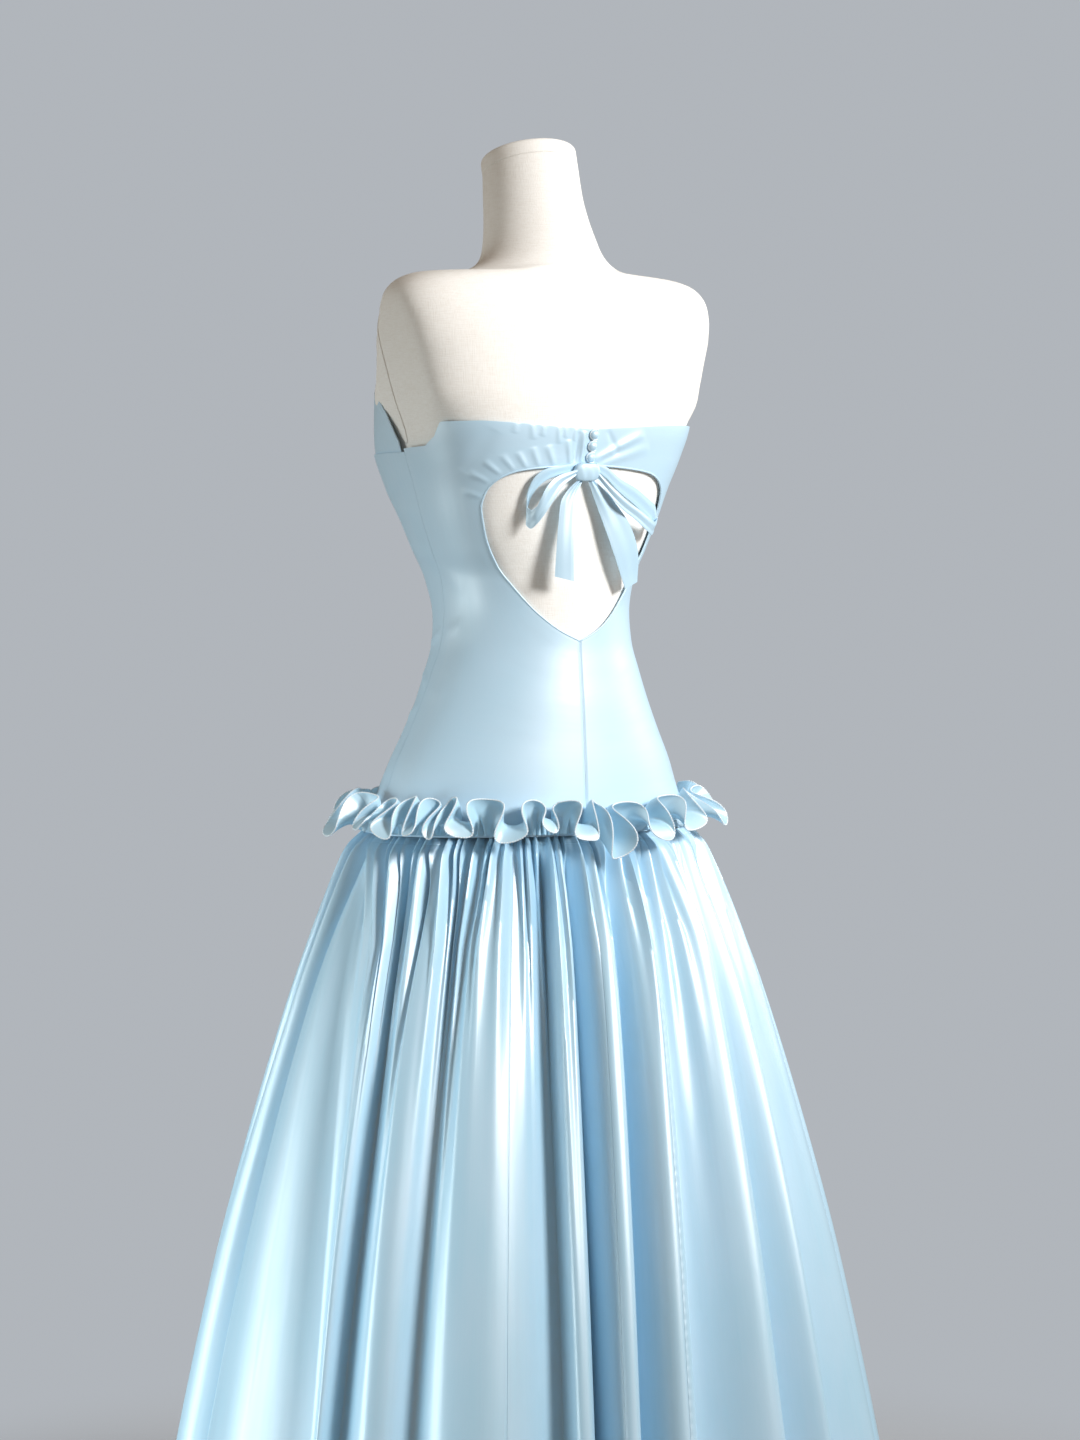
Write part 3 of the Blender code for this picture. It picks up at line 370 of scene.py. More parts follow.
TAIL_LEFT = np.array([
    # left azimuth, left height, right azimuth, right height, left out, right out
    (7.6, 1.2289, 4.4, 1.2289, 0.0050, 0.0050),
    (12.6, 1.2190, 7.0, 1.2180, 0.0055, 0.0065),
    (16.4, 1.2060, 8.6, 1.2060, 0.0080, 0.0095),
    (17.4, 1.1880, 9.5, 1.1880, 0.0110, 0.0130),
    (18.2, 1.1640, 10.0, 1.1640, 0.0145, 0.0170),
    (18.9, 1.1318, 9.7, 1.1270, 0.0185, 0.0210),
])
TAIL_RIGHT = np.array([
    # left azimuth, left height, right azimuth, right height, left out, right out
    (1.0, 1.2289, -2.4, 1.2289, 0.0050, 0.0055),
    (-2.6, 1.2120, -8.6, 1.2180, 0.0060, 0.0085),
    (-6.8, 1.1940, -15.2, 1.2040, 0.0075, 0.0100),
    (-12.0, 1.1690, -21.6, 1.1880, 0.0110, 0.0125),
    (-18.0, 1.1440, -27.8, 1.1670, 0.0125, 0.0140),
    (-24.6, 1.1240, -33.4, 1.1440, 0.0125, 0.0140),
    (-26.4, 1.1190, -36.2, 1.1260, 0.0125, 0.0140),
])
BUTTON_RADIUS = 0.0052
BUTTON_HEIGHT = 0.0042
BUTTON_TILTS = (0, 8, 18, 30, 42, 54, 66, 76, 84)
BUTTON_SIDES = 32
BUTTON_LOOP = (0.0060, 0.0052)
BUTTON_LOOP_SHIFT = 0.0012
BUTTON_LOOP_LIFT = 0.0010
BUTTON_LOOP_SWING = 118
BUTTON_CORD = 0.00075
BUTTONS = (
    # name, azimuth, height
    ("button_top", -1.0, 1.2755),
    ("button_middle", -0.6, 1.2640),
    ("button_bottom", -0.2, 1.2525),
)

# Dress form
FORM_INSET_BACK = 0.0034
FORM_INSET_FRONT = 0.0052
FORM_LEVELS = (0.905, 0.950, 0.995, 1.040, 1.085, 1.128, 1.170, 1.212, 1.250, 1.285)
FORM_HIPS = (
    # height, half width, back, front
    (0.785, 0.098, 0.066, 0.070),
    (0.797, 0.132, 0.090, 0.096),
    (0.825, 0.152, 0.101, 0.104),
    (0.863, 0.158, 0.106, 0.111),
)
HIP_LEVEL = 0.960
HIP_RUN = 0.060
HIP_INSET = 0.012
FORM_SHOULDERS = (
    # half width, back y, front y, back and front squareness, side, back and front height
    (0.1750, 0.1280, -0.1060, 2.8, 2.4, 1.316, 1.316, 1.316),
    (0.1810, 0.1270, -0.0920, 2.7, 2.1, 1.344, 1.346, 1.342),
    (0.1870, 0.1230, -0.0740, 2.7, 2.1, 1.372, 1.376, 1.369),
    (0.1880, 0.1160, -0.0580, 2.8, 2.1, 1.396, 1.402, 1.391),
    (0.1860, 0.1080, -0.0460, 2.8, 2.1, 1.414, 1.422, 1.408),
    (0.1780, 0.1020, -0.0380, 2.8, 2.1, 1.427, 1.434, 1.421),
    (0.1640, 0.0970, -0.0330, 2.7, 2.1, 1.436, 1.441, 1.430),
    (0.1440, 0.0935, -0.0300, 2.3, 2.1, 1.4410, 1.4455, 1.435),
    (0.1150, 0.0930, -0.0285, 2.1, 2.0, 1.4415, 1.4490, 1.438),
    (0.0890, 0.0910, -0.0285, 2.0, 2.0, 1.4455, 1.4520, 1.442),
    (0.0725, 0.0880, -0.0305, 2.0, 2.0, 1.4540, 1.4590, 1.449),
    (0.0640, 0.0835, -0.0340, 2.0, 2.0, 1.4650, 1.470, 1.460),
    (0.0595, 0.0790, -0.0370, 2.0, 2.0, 1.4780, 1.482, 1.474),
    (0.0550, 0.0700, -0.0410, 2.0, 2.0, 1.4980, 1.502, 1.494),
    (0.0520, 0.0600, -0.0450, 2.0, 2.0, 1.5210, 1.529, 1.512),
)
FORM_COLUMNS = 144
RING_STEPS = 4
NECK_RADIUS = 0.0500
NECK_TOP = 1.5545
NECK_Y = 0.001
NECK_TILT = math.radians(16.0)
CAP_THICKNESS = 0.0165
CAP_EDGE = 0.0045
CAP_FOOT = ((0.0012, 0.0003), (0.0002, 0.0010), (0.0, 0.0022))
CAP_CROWN = (0.6, 0.0004)
PLATE_X = 0.1515
PLATE_SLOPE = 0.270
PLATE_HEIGHT = 1.285
PLATE_FACE_BOTTOM = 1.200
PLATE_SOFTNESS = 0.0060
PLATE_POINTS = 40
PLATE_RINGS = (
    # distance out from the torso, size
    (-0.0010, 0.985),
    (0.0002, 0.997),
    (0.0009, 0.988),
    (0.0011, 0.965),
    (0.0012, 0.85),
    (0.0012, 0.60),
    (0.0012, 0.30),
    (0.0012, 0.05),
)
PLATE_OUTLINE = np.array([
    # height, back y, front y
    (1.2680, 0.0020, -0.0020),
    (1.2740, 0.0040, -0.0100),
    (1.2900, 0.0035, -0.0215),
    (1.3170, 0.0000, -0.0320),
    (1.3450, -0.0020, -0.0360),
    (1.3700, -0.0035, -0.0340),
    (1.3950, -0.0045, -0.0280),
    (1.4150, -0.0050, -0.0200),
    (1.4290, -0.0060, -0.0120),
    (1.4340, -0.0080, -0.0090),
])

# Finishes
SATIN_FINISHES = {
    # lit colour, deep colour, roughness, edge stitches, relief, seam puckers
    "skirt_satin": ((0.49, 0.72, 0.885), (0.35, 0.66, 0.83), 0.40, 1.0, 0.28, 0.0),
    "puckered_satin": ((0.49, 0.72, 0.885), (0.35, 0.66, 0.83), 0.40, 1.0, 0.28, 1.0),
    "bodice_satin": ((0.52, 0.73, 0.89), (0.45, 0.70, 0.865), 0.46, 0.0, 0.12, 0.0),
    "ruffle_satin": ((0.52, 0.75, 0.89), (0.40, 0.69, 0.84), 0.40, 0.0, 0.25, 0.0),
    "bow_satin": ((0.51, 0.725, 0.885), (0.43, 0.695, 0.865), 0.44, 0.0, 0.18, 0.0),
    "edge_thread": ((0.78, 0.87, 0.93), (0.68, 0.80, 0.89), 0.60, 0.0, 0.10, 0.0),
}
STITCH_INSET = 0.0105
STITCH_HALF_WIDTH = 0.0011
PUCKER_TURNS = 560.0
PUCKER_WANDER = 5.0
PUCKER_REACH = (0.0015, 0.0110)
PUCKER_RISE = 0.5
LINEN_THREADS = ((900.0, 900.0, 90.0), (90.0, 90.0, 1000.0), (14.0, 14.0, 14.0))
LINEN_TONES = ((0.85, 0.82, 0.77), (0.94, 0.93, 0.90))
STEEL_MARKS = (30.0, 30.0, 900.0)
STEEL_TONES = ((0.48, 0.49, 0.50), (0.62, 0.63, 0.64))

# Camera and studio
CAMERA_SIDE = Vector((-0.8660254, 0.5, 0.0))
CAMERA_BACK = Vector((0.5, 0.8660254, 0.0))
CAMERA_DISTANCE = 3.5
CAMERA_HEIGHT = 1.149
AIM_HEIGHT = 0.9805
SIDE_SHIFT = 0.011
LENS = 83.33
BACKDROP_GREY = (0.440, 0.466, 0.500)
ROOM_LIGHT = (0.225, 0.185, 0.15)
FLOOR_GREY = (0.42, 0.42, 0.42)
FLOOR_LIFT = 0.30
FLOOR_RADIUS = 1.25
FLOOR_FADE_START = 0.55
STUDIO_LIGHTS = (
    # name, azimuth, height, distance, height aimed at, size, fan angle, watts, colour
    ("key", -23.0, 2.50, 3.3, 1.15, 1.0, 66.0, 20.5, (1.0, 0.995, 0.985)),
    ("right_window", -84.0, 1.90, 3.0, 0.90, 1.4, 76.0, 5.0, (1.0, 1.0, 1.0)),
    ("left_wall", 128.0, 1.40, 2.6, 1.10, 1.8, 110.0, 1.8, (1.0, 0.86, 0.70)),
    ("low_left", 104.0, 0.35, 2.0, 0.40, 1.5, 64.0, 6.0, (0.80, 0.95, 1.0)),
)


def smooth_value(x, places, values):
    """Monotone cubic curve through the values at rising places."""
    places = np.asarray(places, dtype=float)
    values = np.asarray(values, dtype=float)
    steps = np.diff(places)
    slopes = np.diff(values) / steps
    tangents = np.zeros(len(places))
    tangents[0] = slopes[0]
    tangents[-1] = slopes[-1]
    for i in range(1, len(places) - 1):
        if slopes[i - 1] * slopes[i] > 0:
            tangents[i] = 2 * slopes[i - 1] * slopes[i] / (slopes[i - 1] + slopes[i])
    x = np.clip(x, places[0], places[-1])
    i = np.clip(np.searchsorted(places, x) - 1, 0, len(places) - 2)
    t = (x - places[i]) / steps[i]
    start = (1 + 2 * t) * (1 - t) ** 2 * values[i] + t * (1 - t) ** 2 * steps[i] * tangents[i]
    end = t * t * (3 - 2 * t) * values[i + 1] + t * t * (t - 1) * steps[i] * tangents[i + 1]
    return start + end


def table_value(x, table, column):
    return smooth_value(x, table[:, 0], table[:, column])


def bodice_point(azimuth, height, out=0.0):
    """Point on the bodice's outer surface, or the given distance outside it."""
    angle = np.radians(azimuth)
    height = np.asarray(height, dtype=float)
    width, back, front, middle, power = (
        table_value(height, BODICE_SECTIONS, column) for column in range(1, 6))
    sine, cosine = np.sin(angle), np.cos(angle)
    depth = np.where(cosine > 0, back - middle, front + middle) + out
    across = np.abs(sine / (width + out)) ** power + np.abs(cosine / depth) ** power
    radius = across ** (-1 / power)
    return np.stack([radius * sine, middle + radius * cosine, height + 0 * radius], axis=-1)


def unit(vectors):
    return vectors / np.maximum(np.linalg.norm(vectors, axis=-1, keepdims=True), 1e-12)


def surface_frame(azimuth, height, out=0.0):
    """A point beside the bodice with unit vectors across, up and out from it there."""
    origin = bodice_point(azimuth, height, out)
    across = unit(bodice_point(azimuth - 1.0, height, out) - bodice_point(azimuth + 1.0, height, out))
    up = unit(bodice_point(azimuth, height + 0.004, out) - bodice_point(azimuth, height - 0.004, out))
    outward = unit(np.cross(up, across))
    return origin, across, up, outward * np.sign(outward[1])


def grid_normals(grid, around=False):
    """Unit normals of a grid of points, rows by columns."""
    if around:
        across = np.roll(grid, -1, axis=1) - np.roll(grid, 1, axis=1)
    else:
        across = np.gradient(grid, axis=1)
    return unit(np.cross(across, np.gradient(grid, axis=0)))


def outside(grid, normals):
    """The sign that turns the normals of a grid away from the middle of the dress."""
    return np.sign(np.mean(np.sum(normals[..., :2] * grid[..., :2], axis=-1)))


def run_lengths(grid, axis):
    """Running length along an axis of a grid, averaged over the other axis."""
    steps = np.linalg.norm(np.diff(grid, axis=axis), axis=-1).mean(axis=1 - axis)
    return np.concatenate([[0], np.cumsum(steps)])


def creased(azimuth, height, creases):
    """Distance out from the bodice surface that its creases give at each place."""
    out = np.zeros(np.broadcast(azimuth, height).shape)
    across = np.radians(azimuth) * GIRTH_RADIUS
    for start_azimuth, start_height, end_azimuth, end_height, half_width, rise in creases:
        start = np.radians(start_azimuth) * GIRTH_RADIUS
        run = np.radians(end_azimuth) * GIRTH_RADIUS - start
        climb = end_height - start_height
        length = math.hypot(run, climb)
        share = ((across - start) * run + (height - start_height) * climb) / length ** 2
        aside = ((across - start) * climb - (height - start_height) * run) / length
        taper = np.clip(share, 0, 1) * np.clip(1 - share, 0, 1) * 4
        spread = half_width * (0.75 + 0.5 * np.clip(share, 0, 1))
        out += rise * np.sqrt(taper) * np.exp(-(aside / spread) ** 2)
    return out


def finish_piece(piece, finish, replaced=()):
    """Gives a piece its finish, attaches it to the root body and hides the nodes that it stands for."""
    piece.data.materials.clear()
    piece.data.materials.append(finish)
    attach(piece, "root")
    if replaced:
        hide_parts(*replaced)
    return piece


def cloth_mesh(name, points, faces, maps):
    """A smooth mesh with its faces out and the cloth's own coordinates."""
    mesh = bpy.data.meshes.new(name)
    mesh.from_pydata(points.tolist(), [], faces)
    corners = np.empty(len(mesh.loops), dtype=np.int32)
    mesh.loops.foreach_get("vertex_index", corners)
    for title, places in maps:
        layer = mesh.uv_layers.new(name=title)
        layer.data.foreach_set("uv", places[corners].astype(np.float32).ravel())
    shape = bmesh.new()
    shape.from_mesh(mesh)
    bmesh.ops.recalc_face_normals(shape, faces=shape.faces)
    shape.to_mesh(mesh)
    shape.free()
    mesh.shade_smooth()
    mesh.set_sharp_from_angle(angle=math.radians(SHARP_ANGLE))
    piece = bpy.data.objects.new(name, mesh)
    bpy.context.scene.collection.objects.link(piece)
    return piece


def cloth_shell(name, outer, inner):
    """A closed thin shell of satin between two grids of points."""
    rows, columns = outer.shape[:2]
    count = rows * columns
    points = np.concatenate([outer.reshape(-1, 3), inner.reshape(-1, 3)])
    index = np.arange(count).reshape(rows, columns)
    a, b = index[:-1, :-1].ravel(), index[:-1, 1:].ravel()
    c, d = index[1:, 1:].ravel(), index[1:, :-1].ravel()
    quads = [np.stack([a, b, c, d], axis=1), np.stack([a, d, c, b], axis=1) + count]
    for edge in (index[0], index[-1], index[:, 0], index[:, -1]):
        quads.append(np.stack([edge[:-1], edge[1:], edge[1:] + count, edge[:-1] + count], axis=1))
    across = run_lengths(outer, 1)
    down = run_lengths(outer, 0)
    threads = np.stack(np.meshgrid(across, down), axis=-1).reshape(-1, 2)
    edges = np.stack(np.meshgrid(np.minimum(across, across[-1] - across),
                                 np.minimum(down, down[-1] - down)), axis=-1).reshape(-1, 2)
    maps = (("threads", np.concatenate([threads, threads])), ("edges", np.concatenate([edges, edges])))
    return cloth_mesh(name, points, np.concatenate(quads).tolist(), maps)


def path_run(path):
    """Running length at each point of a path."""
    return np.concatenate([[0], np.cumsum(np.linalg.norm(np.diff(path, axis=0), axis=1))])


def skin(outer, wall, around=False):
    """The inner points of a wall of cloth."""
    normals = grid_normals(outer, around)
    return outer - outside(outer, normals) * normals * wall


def back_panel(side, finish):
    """One C-shaped back panel, side +1 on the wearer's left and -1 on the right."""
    top_rows, side_rows, low_rows = BACK_ROWS
    shares = np.concatenate([SIDE_TOP_SHARE * np.linspace(0, 1, top_rows) ** 1.3,
                             np.linspace(SIDE_TOP_SHARE, SIDE_BOTTOM_SHARE, side_rows)[1:],
                             1 - (1 - SIDE_BOTTOM_SHARE) * np.linspace(1, 0, low_rows)[1:] ** 1.7])
    across = np.linspace(0.0, 1.0, BACK_COLUMNS)[None, :]
    inner_edge = [table_value(shares, CUTOUT, column)[:, None] for column in (1, 2)]
    outer_edge = [np.interp(shares, BACK_EDGE[:, 0], BACK_EDGE[:, column])[:, None] for column in (1, 2)]
    azimuth = inner_edge[0] + (outer_edge[0] - inner_edge[0]) * across
    height = inner_edge[1] + (outer_edge[1] - inner_edge[1]) * across
    relief = creased(side * azimuth, height, BACK_CREASES)
    at_seam = np.clip((SIDE_SEAM - azimuth) / CREASE_MARGIN, 0, 1) * np.clip(azimuth / 1.2, 0.15, 1)
    beside_seam = np.radians(azimuth) * GIRTH_RADIUS / SEAM_WIDTH
    relief = relief * at_seam - SEAM_DEPTH * np.exp(-beside_seam ** 2)
    outer = bodice_point(azimuth, height, relief)
    inner = bodice_point(azimuth, height, relief - WALL)
    for grid in (outer, inner):
        grid[0, :, 0] = SEAM_GAP / 2
        grid[-1, :, 0] = SEAM_GAP / 2
        grid[..., 1] += np.where(azimuth > SIDE_SEAM - 0.01, SEAM_GAP / 2, 0)
        grid[..., 0] *= side
    name = "back_left" if side > 0 else "back_right"
    piece = cloth_shell(name + "_satin", outer, inner)
    finish_piece(piece, finish, (name,))
    widest = bodice_point(np.linspace(0, SIDE_SEAM, 60), BACK_EDGE[6, 2])
    tallest = bodice_point(BACK_EDGE[3, 1], np.linspace(BODICE_BOTTOM, BACK_EDGE[3, 2], 60))
    rolled = (outer[:, 0] + inner[:, 0]) / 2 + unit(outer[:, 0] - inner[:, 0]) * 0.0003
    path, _ = along(rolled, 0.0015)
    finish_piece(tube(name + "_cutout_edge", path, np.full(len(path), EDGE_ROLL), 8), finish)


def neckline_height(azimuth):
    return table_value(180 - np.abs(180 - azimuth), NECKLINE, 1)


def fronts(finish):
    """The long front with its free top edge, and the cup band tucked behind it."""
    azimuth = np.linspace(SIDE_SEAM, 360 - SIDE_SEAM, FRONT_COLUMNS)[None, :]
    height = np.linspace(BODICE_BOTTOM, OVERLAY_EDGE, FRONT_ROWS)[:, None]
    relief = creased(azimuth, height, FRONT_CREASES)
    relief = relief * np.clip((azimuth - SIDE_SEAM) / CREASE_MARGIN, 0, 1)
    relief = relief * np.clip((360 - SIDE_SEAM - azimuth) / CREASE_MARGIN, 0, 1)
    outer = bodice_point(azimuth + 0 * height, height + 0 * azimuth, relief)
    inner = bodice_point(azimuth + 0 * height, height + 0 * azimuth, relief - WALL)
    for grid in (outer, inner):
        grid[:, 0, 1] -= SEAM_GAP / 2
        grid[:, -1, 1] -= SEAM_GAP / 2
    piece = cloth_shell("front_lower_satin", outer, inner)
    finish_piece(piece, finish, ("front_lower",))

    left, middle, right = (np.linspace(start, end, count) for start, end, count in
                           zip(CUP_AZIMUTHS, CUP_AZIMUTHS[1:], CUP_COLUMNS))
    azimuth = np.concatenate([left[:-1], middle, right[1:]])[None, :]
    tucked = np.array(CUP_TUCK)[:, None] + 0 * azimuth
    rise = np.linspace(0, 1, CUP_ROWS)[:, None]
    rising = OVERLAY_EDGE + (neckline_height(azimuth) - OVERLAY_EDGE) * rise
    height = np.concatenate([tucked, rising])
    outer = bodice_point(azimuth + 0 * height, height, CUP_OUT)
    inner = bodice_point(azimuth + 0 * height, height, CUP_OUT - WALL)
    piece = cloth_shell("front_upper_satin", outer, inner)
    finish_piece(piece, finish, ("front_upper",))


def waist_azimuth(gather):
    """Azimuth of a place counted in gathers from the centre back, evenly along the seam."""
    dense = np.radians(np.linspace(-180, 180, 1441))
    _, width, depth, _ = SKIRT_SECTIONS[-1]
    radius = 1 / np.hypot(np.sin(dense) / width, np.cos(dense) / depth)
    seam = np.stack([radius * np.sin(dense), radius * np.cos(dense)], axis=-1)
    run = path_run(seam)
    gathers = run / run[-1] * GATHERS - GATHERS / 2
    turns = np.floor((gather + GATHERS / 2) / GATHERS)
    return np.degrees(np.interp(gather - turns * GATHERS, gathers, dense)) + 360 * turns


def scatter(number, seed):
    """An even spread of values from 0 to 1, the same each time."""
    value = np.sin(number * 12.9898 + seed * 78.233) * 43758.5453
    return value - np.floor(value)


def varied(limits, number, seed, power=1.0):
    """A least value and a share of how much more, different for each number."""
    least, more = limits
    return least + more * scatter(number, seed) ** power


def skirt_levels():
    drop = np.linspace(0, 1, SKIRT_ROWS) ** ROW_CROWDING
    return SKIRT_TOP - (SKIRT_TOP - HEM_HEIGHT) * drop


def gather_relief(gather, below):
    """How far the gathers draw the cloth in, each with its own depth and length."""
    wandering = gather
    for aside, turn, start in GATHER_WANDER:
        wandering = wandering + aside * np.sin(turn * gather + start)
    nearest = np.round(wandering)
    pleat = (0.5 + 0.5 * np.cos(2 * np.pi * (wandering - nearest))) ** PLEAT_SHARPNESS
    depth = varied(PLEAT_DEPTH, nearest, 1)
    length = varied(PLEAT_LENGTH, nearest, 2, PLEAT_LENGTH_POWER)
    inset = (pleat * depth)[None, :] * np.exp(-(below / length[None, :]) ** PLEAT_FADE)
    joined = np.round(wandering / HOLLOW_GATHERS)
    hollow = (0.5 + 0.5 * np.cos(2 * np.pi * (wandering / HOLLOW_GATHERS - joined))) ** 2
    reach = varied(HOLLOW_LENGTH, joined, 3)
    strength = varied(HOLLOW_DEPTH, joined, 4)
    arrival = 1 - np.exp(-(below / HOLLOW_START) ** 2)
    return inset + (hollow * strength)[None, :] * arrival * np.exp(-(below / reach[None, :]) ** 2)


def skirt_grid(levels):
    """Outer points of the whole skirt, from the left side round to the left side."""
    columns = GATHERS * GATHER_COLUMNS
    gather = FIRST_GATHER - np.arange(columns) / GATHER_COLUMNS
    starts = FIRST_GATHER - np.concatenate([[0], np.cumsum(FOLDS[:, 0])])
    fold = np.clip(np.searchsorted(-starts, -gather, side="right") - 1, 0, len(FOLDS) - 1)
    turn = (starts[fold] - gather) / FOLDS[fold, 0]

    hem_left = FOLDS[:, 1]
    hem_right = np.append(hem_left[1:], hem_left[0] - 360)
    depth_left = FOLDS[:, 2]
    depth_right = np.append(depth_left[1:], depth_left[0])
    waist_left = waist_azimuth(starts[:-1])
    waist_right = waist_azimuth(starts[1:])

    angle = 2 * np.pi * turn
    ridge = 1 - ((1 + np.cos(angle)) / 2) ** FOLDS[fold, 4]
    pinched = turn - FOLDS[fold, 5] * np.sin(angle) / (2 * np.pi)
    crest = FOLDS[fold, 3]
    share = pinched * crest / (pinched * crest + (1 - pinched) * (1 - crest))
    valley = depth_left[fold] + (depth_right - depth_left)[fold] * turn

    drop = (SKIRT_TOP - levels[:, None]) / (SKIRT_TOP - HEM_HEIGHT)
    below = drop * (SKIRT_TOP - HEM_HEIGHT)
    spread = 1 - (1 - drop) ** SPREAD_POWER
    growth = 1 - np.exp(-drop / FOLD_GROWTH)
    growth = growth * (TOP_DEPTH_SHARE + (1 - TOP_DEPTH_SHARE) * drop)
    waist = waist_azimuth(gather)[None, :]
    hem = hem_left[fold] - (hem_left - hem_right)[fold] * share
    left = (waist_left[fold] - (waist_left - waist_right)[fold] * share)[None, :]
    blend = np.clip(drop / GATHER_RUN, 0, 1)
    azimuth = (waist + (left - waist) * blend) * (1 - spread) + hem[None, :] * spread

    inset = (valley * (1 - ridge))[None, :] * growth
    inset = inset + gather_relief(gather, below)
    for waves, rise, drift, start in RIPPLES:
        ripple = np.sin(2 * np.pi * waves * gather[None, :] + drift * drop + start)
        inset = inset + rise * (0.5 + 0.5 * ripple) * np.clip(drop / RIPPLE_START, 0, 1)

    turned_by = np.radians(azimuth)
    width, depth, middle = (table_value(levels, SKIRT_SECTIONS, column)[:, None] for column in (1, 2, 3))
    radius = 1 / np.hypot(np.sin(turned_by) / width, np.cos(turned_by) / depth) - inset
    height = levels[:, None] + 0 * radius
    return np.stack([radius * np.sin(turned_by), middle + radius * np.cos(turned_by), height], axis=-1)


def draw_back_ends(grid):
    """Draws a panel's two seam edges back by half the gap."""
    for end, beside in ((0, 1), (-1, -2)):
        grid[:, end] += unit(grid[:, beside] - grid[:, end]) * SEAM_GAP / 2


def gathered_piece(name, outer, inner, span, finish):
    """One sewn piece of a gathered ring of cloth, between two of its columns."""
    picked = np.arange(span[0], span[1] + 1) % outer.shape[1]
    outer_part, inner_part = outer[:, picked].copy(), inner[:, picked].copy()
    draw_back_ends(outer_part)
    draw_back_ends(inner_part)
    piece = cloth_shell(name + "_satin", outer_part, inner_part)
    finish_piece(piece, finish, (name,))
    return outer_part, inner_part


def skirt(finish, puckered_finish):
    """The eight gathered panels of the skirt."""
    outer = skirt_grid(skirt_levels())
    inner = skin(outer, WALL, around=True)
    inner[..., 2] = outer[..., 2]
    seams = [int(round(GATHER_COLUMNS * (FIRST_GATHER - gather))) for _, gather in SKIRT_PANELS]
    seams.append(seams[0] + outer.shape[1])
    for (name, _), start, end in zip(SKIRT_PANELS, seams, seams[1:]):
        worn = puckered_finish if name == PUCKERED_PANEL else finish
        gathered_piece(name, outer, inner, (start, end), worn)


def curl_angles(reach, rise):
    """Angles at which a strip of the ruffle's width leaves its seam and arrives at its free edge."""
    chord = np.hypot(reach, rise)
    bend = np.interp(-chord / RUFFLE_WIDTH, -np.sin(CURL_BENDS) / CURL_BENDS, CURL_BENDS)
    slope = np.arctan2(rise, reach)
    return slope + bend, slope - bend


def ruffle_grid():
    """Points of the gathered strip, from its seam to its free edge, all the way round."""
    half = WAVE_COLUMNS // 2
    lobes, standing = WAVES[:, :3], WAVES[:, 3:]
    next_lobes = np.roll(lobes, -1, axis=0)
    next_lobes[-1, 0] -= 360.0
    starts = np.stack([lobes, standing], axis=1).reshape(-1, 3)
    ends = np.stack([standing, next_lobes], axis=1).reshape(-1, 3)
    turn = np.tile(np.arange(half) / half, len(starts))
    start, end = np.repeat(starts, half, axis=0), np.repeat(ends, half, axis=0)
    ease = (1 - np.cos(np.pi * turn)) / 2
    first_leaving, first_arriving = curl_angles(start[:, 1], start[:, 2] - RUFFLE_BOTTOM)
    last_leaving, last_arriving = curl_angles(end[:, 1], end[:, 2] - RUFFLE_BOTTOM)
    leaving = first_leaving + (last_leaving - first_leaving) * ease
    curl = first_arriving - first_leaving
    curl = curl + (last_arriving - last_leaving - curl) * ease
    plain = start[:, 0] + (end[:, 0] - start[:, 0]) * turn
    meander = (end[:, 0] - start[:, 0]) * WAVE_OVERHANG * np.sin(2 * np.pi * turn)

    share = np.linspace(0, 1, RUFFLE_ROWS)[:, None]
    azimuth = plain + meander * share
    angle = leaving + curl * share
    out = SEAM_GAP + WALL + RUFFLE_WIDTH * (np.sin(angle) - np.sin(leaving)) / curl
    height = RUFFLE_BOTTOM + RUFFLE_WIDTH * (np.cos(leaving) - np.cos(angle)) / curl
    place = np.arange(len(plain)) / WAVE_COLUMNS
    drift, drift_turn = RUFFLE_PLEAT_DRIFT
    pleat = 0.5 + 0.5 * np.sin(2 * np.pi * RUFFLE_PLEATS * place + drift * np.sin(drift_turn * place))
    gathered = np.exp(-(share / RUFFLE_PLEAT_RUN) ** 2)
    out = out + RUFFLE_PLEAT_DEPTH * pleat * gathered
    for waves, reach, rise, first in RUFFLE_CRINKLES:
        wave = np.sin(2 * np.pi * waves * place + first + CRINKLE_DRIFT * share)
        out = out + reach * (1 + wave) * share
        height = height + rise * wave * share
    return bodice_point(azimuth, height, out), plain


def ruffle(finish, thread):
    """The strip in two pieces, seamed at the sides, with an overlocked free edge."""
    outer, azimuth = ruffle_grid()
    inner = skin(outer, WALL, around=True)
    inner[0, :, 2] = outer[0, :, 2]
    start, end = (int(np.argmin(np.abs(azimuth - seam))) for seam in RUFFLE_SEAMS)
    for name, span in (("ruffle_back", (start, end)), ("ruffle_front", (end, start + outer.shape[1]))):
        outer_part, inner_part = gathered_piece(name, outer, inner, span, finish)
        edge = (outer_part[-1] + inner_part[-1]) / 2
        stitched_edge(name + "_edging", edge, thread)


def along(path, spacing):
    """Points at even spacing on a path."""
    run = path_run(path)
    places = np.linspace(0, run[-1], max(2, int(run[-1] / spacing)))
    return np.stack([np.interp(places, run, path[:, k]) for k in range(3)], axis=-1), places


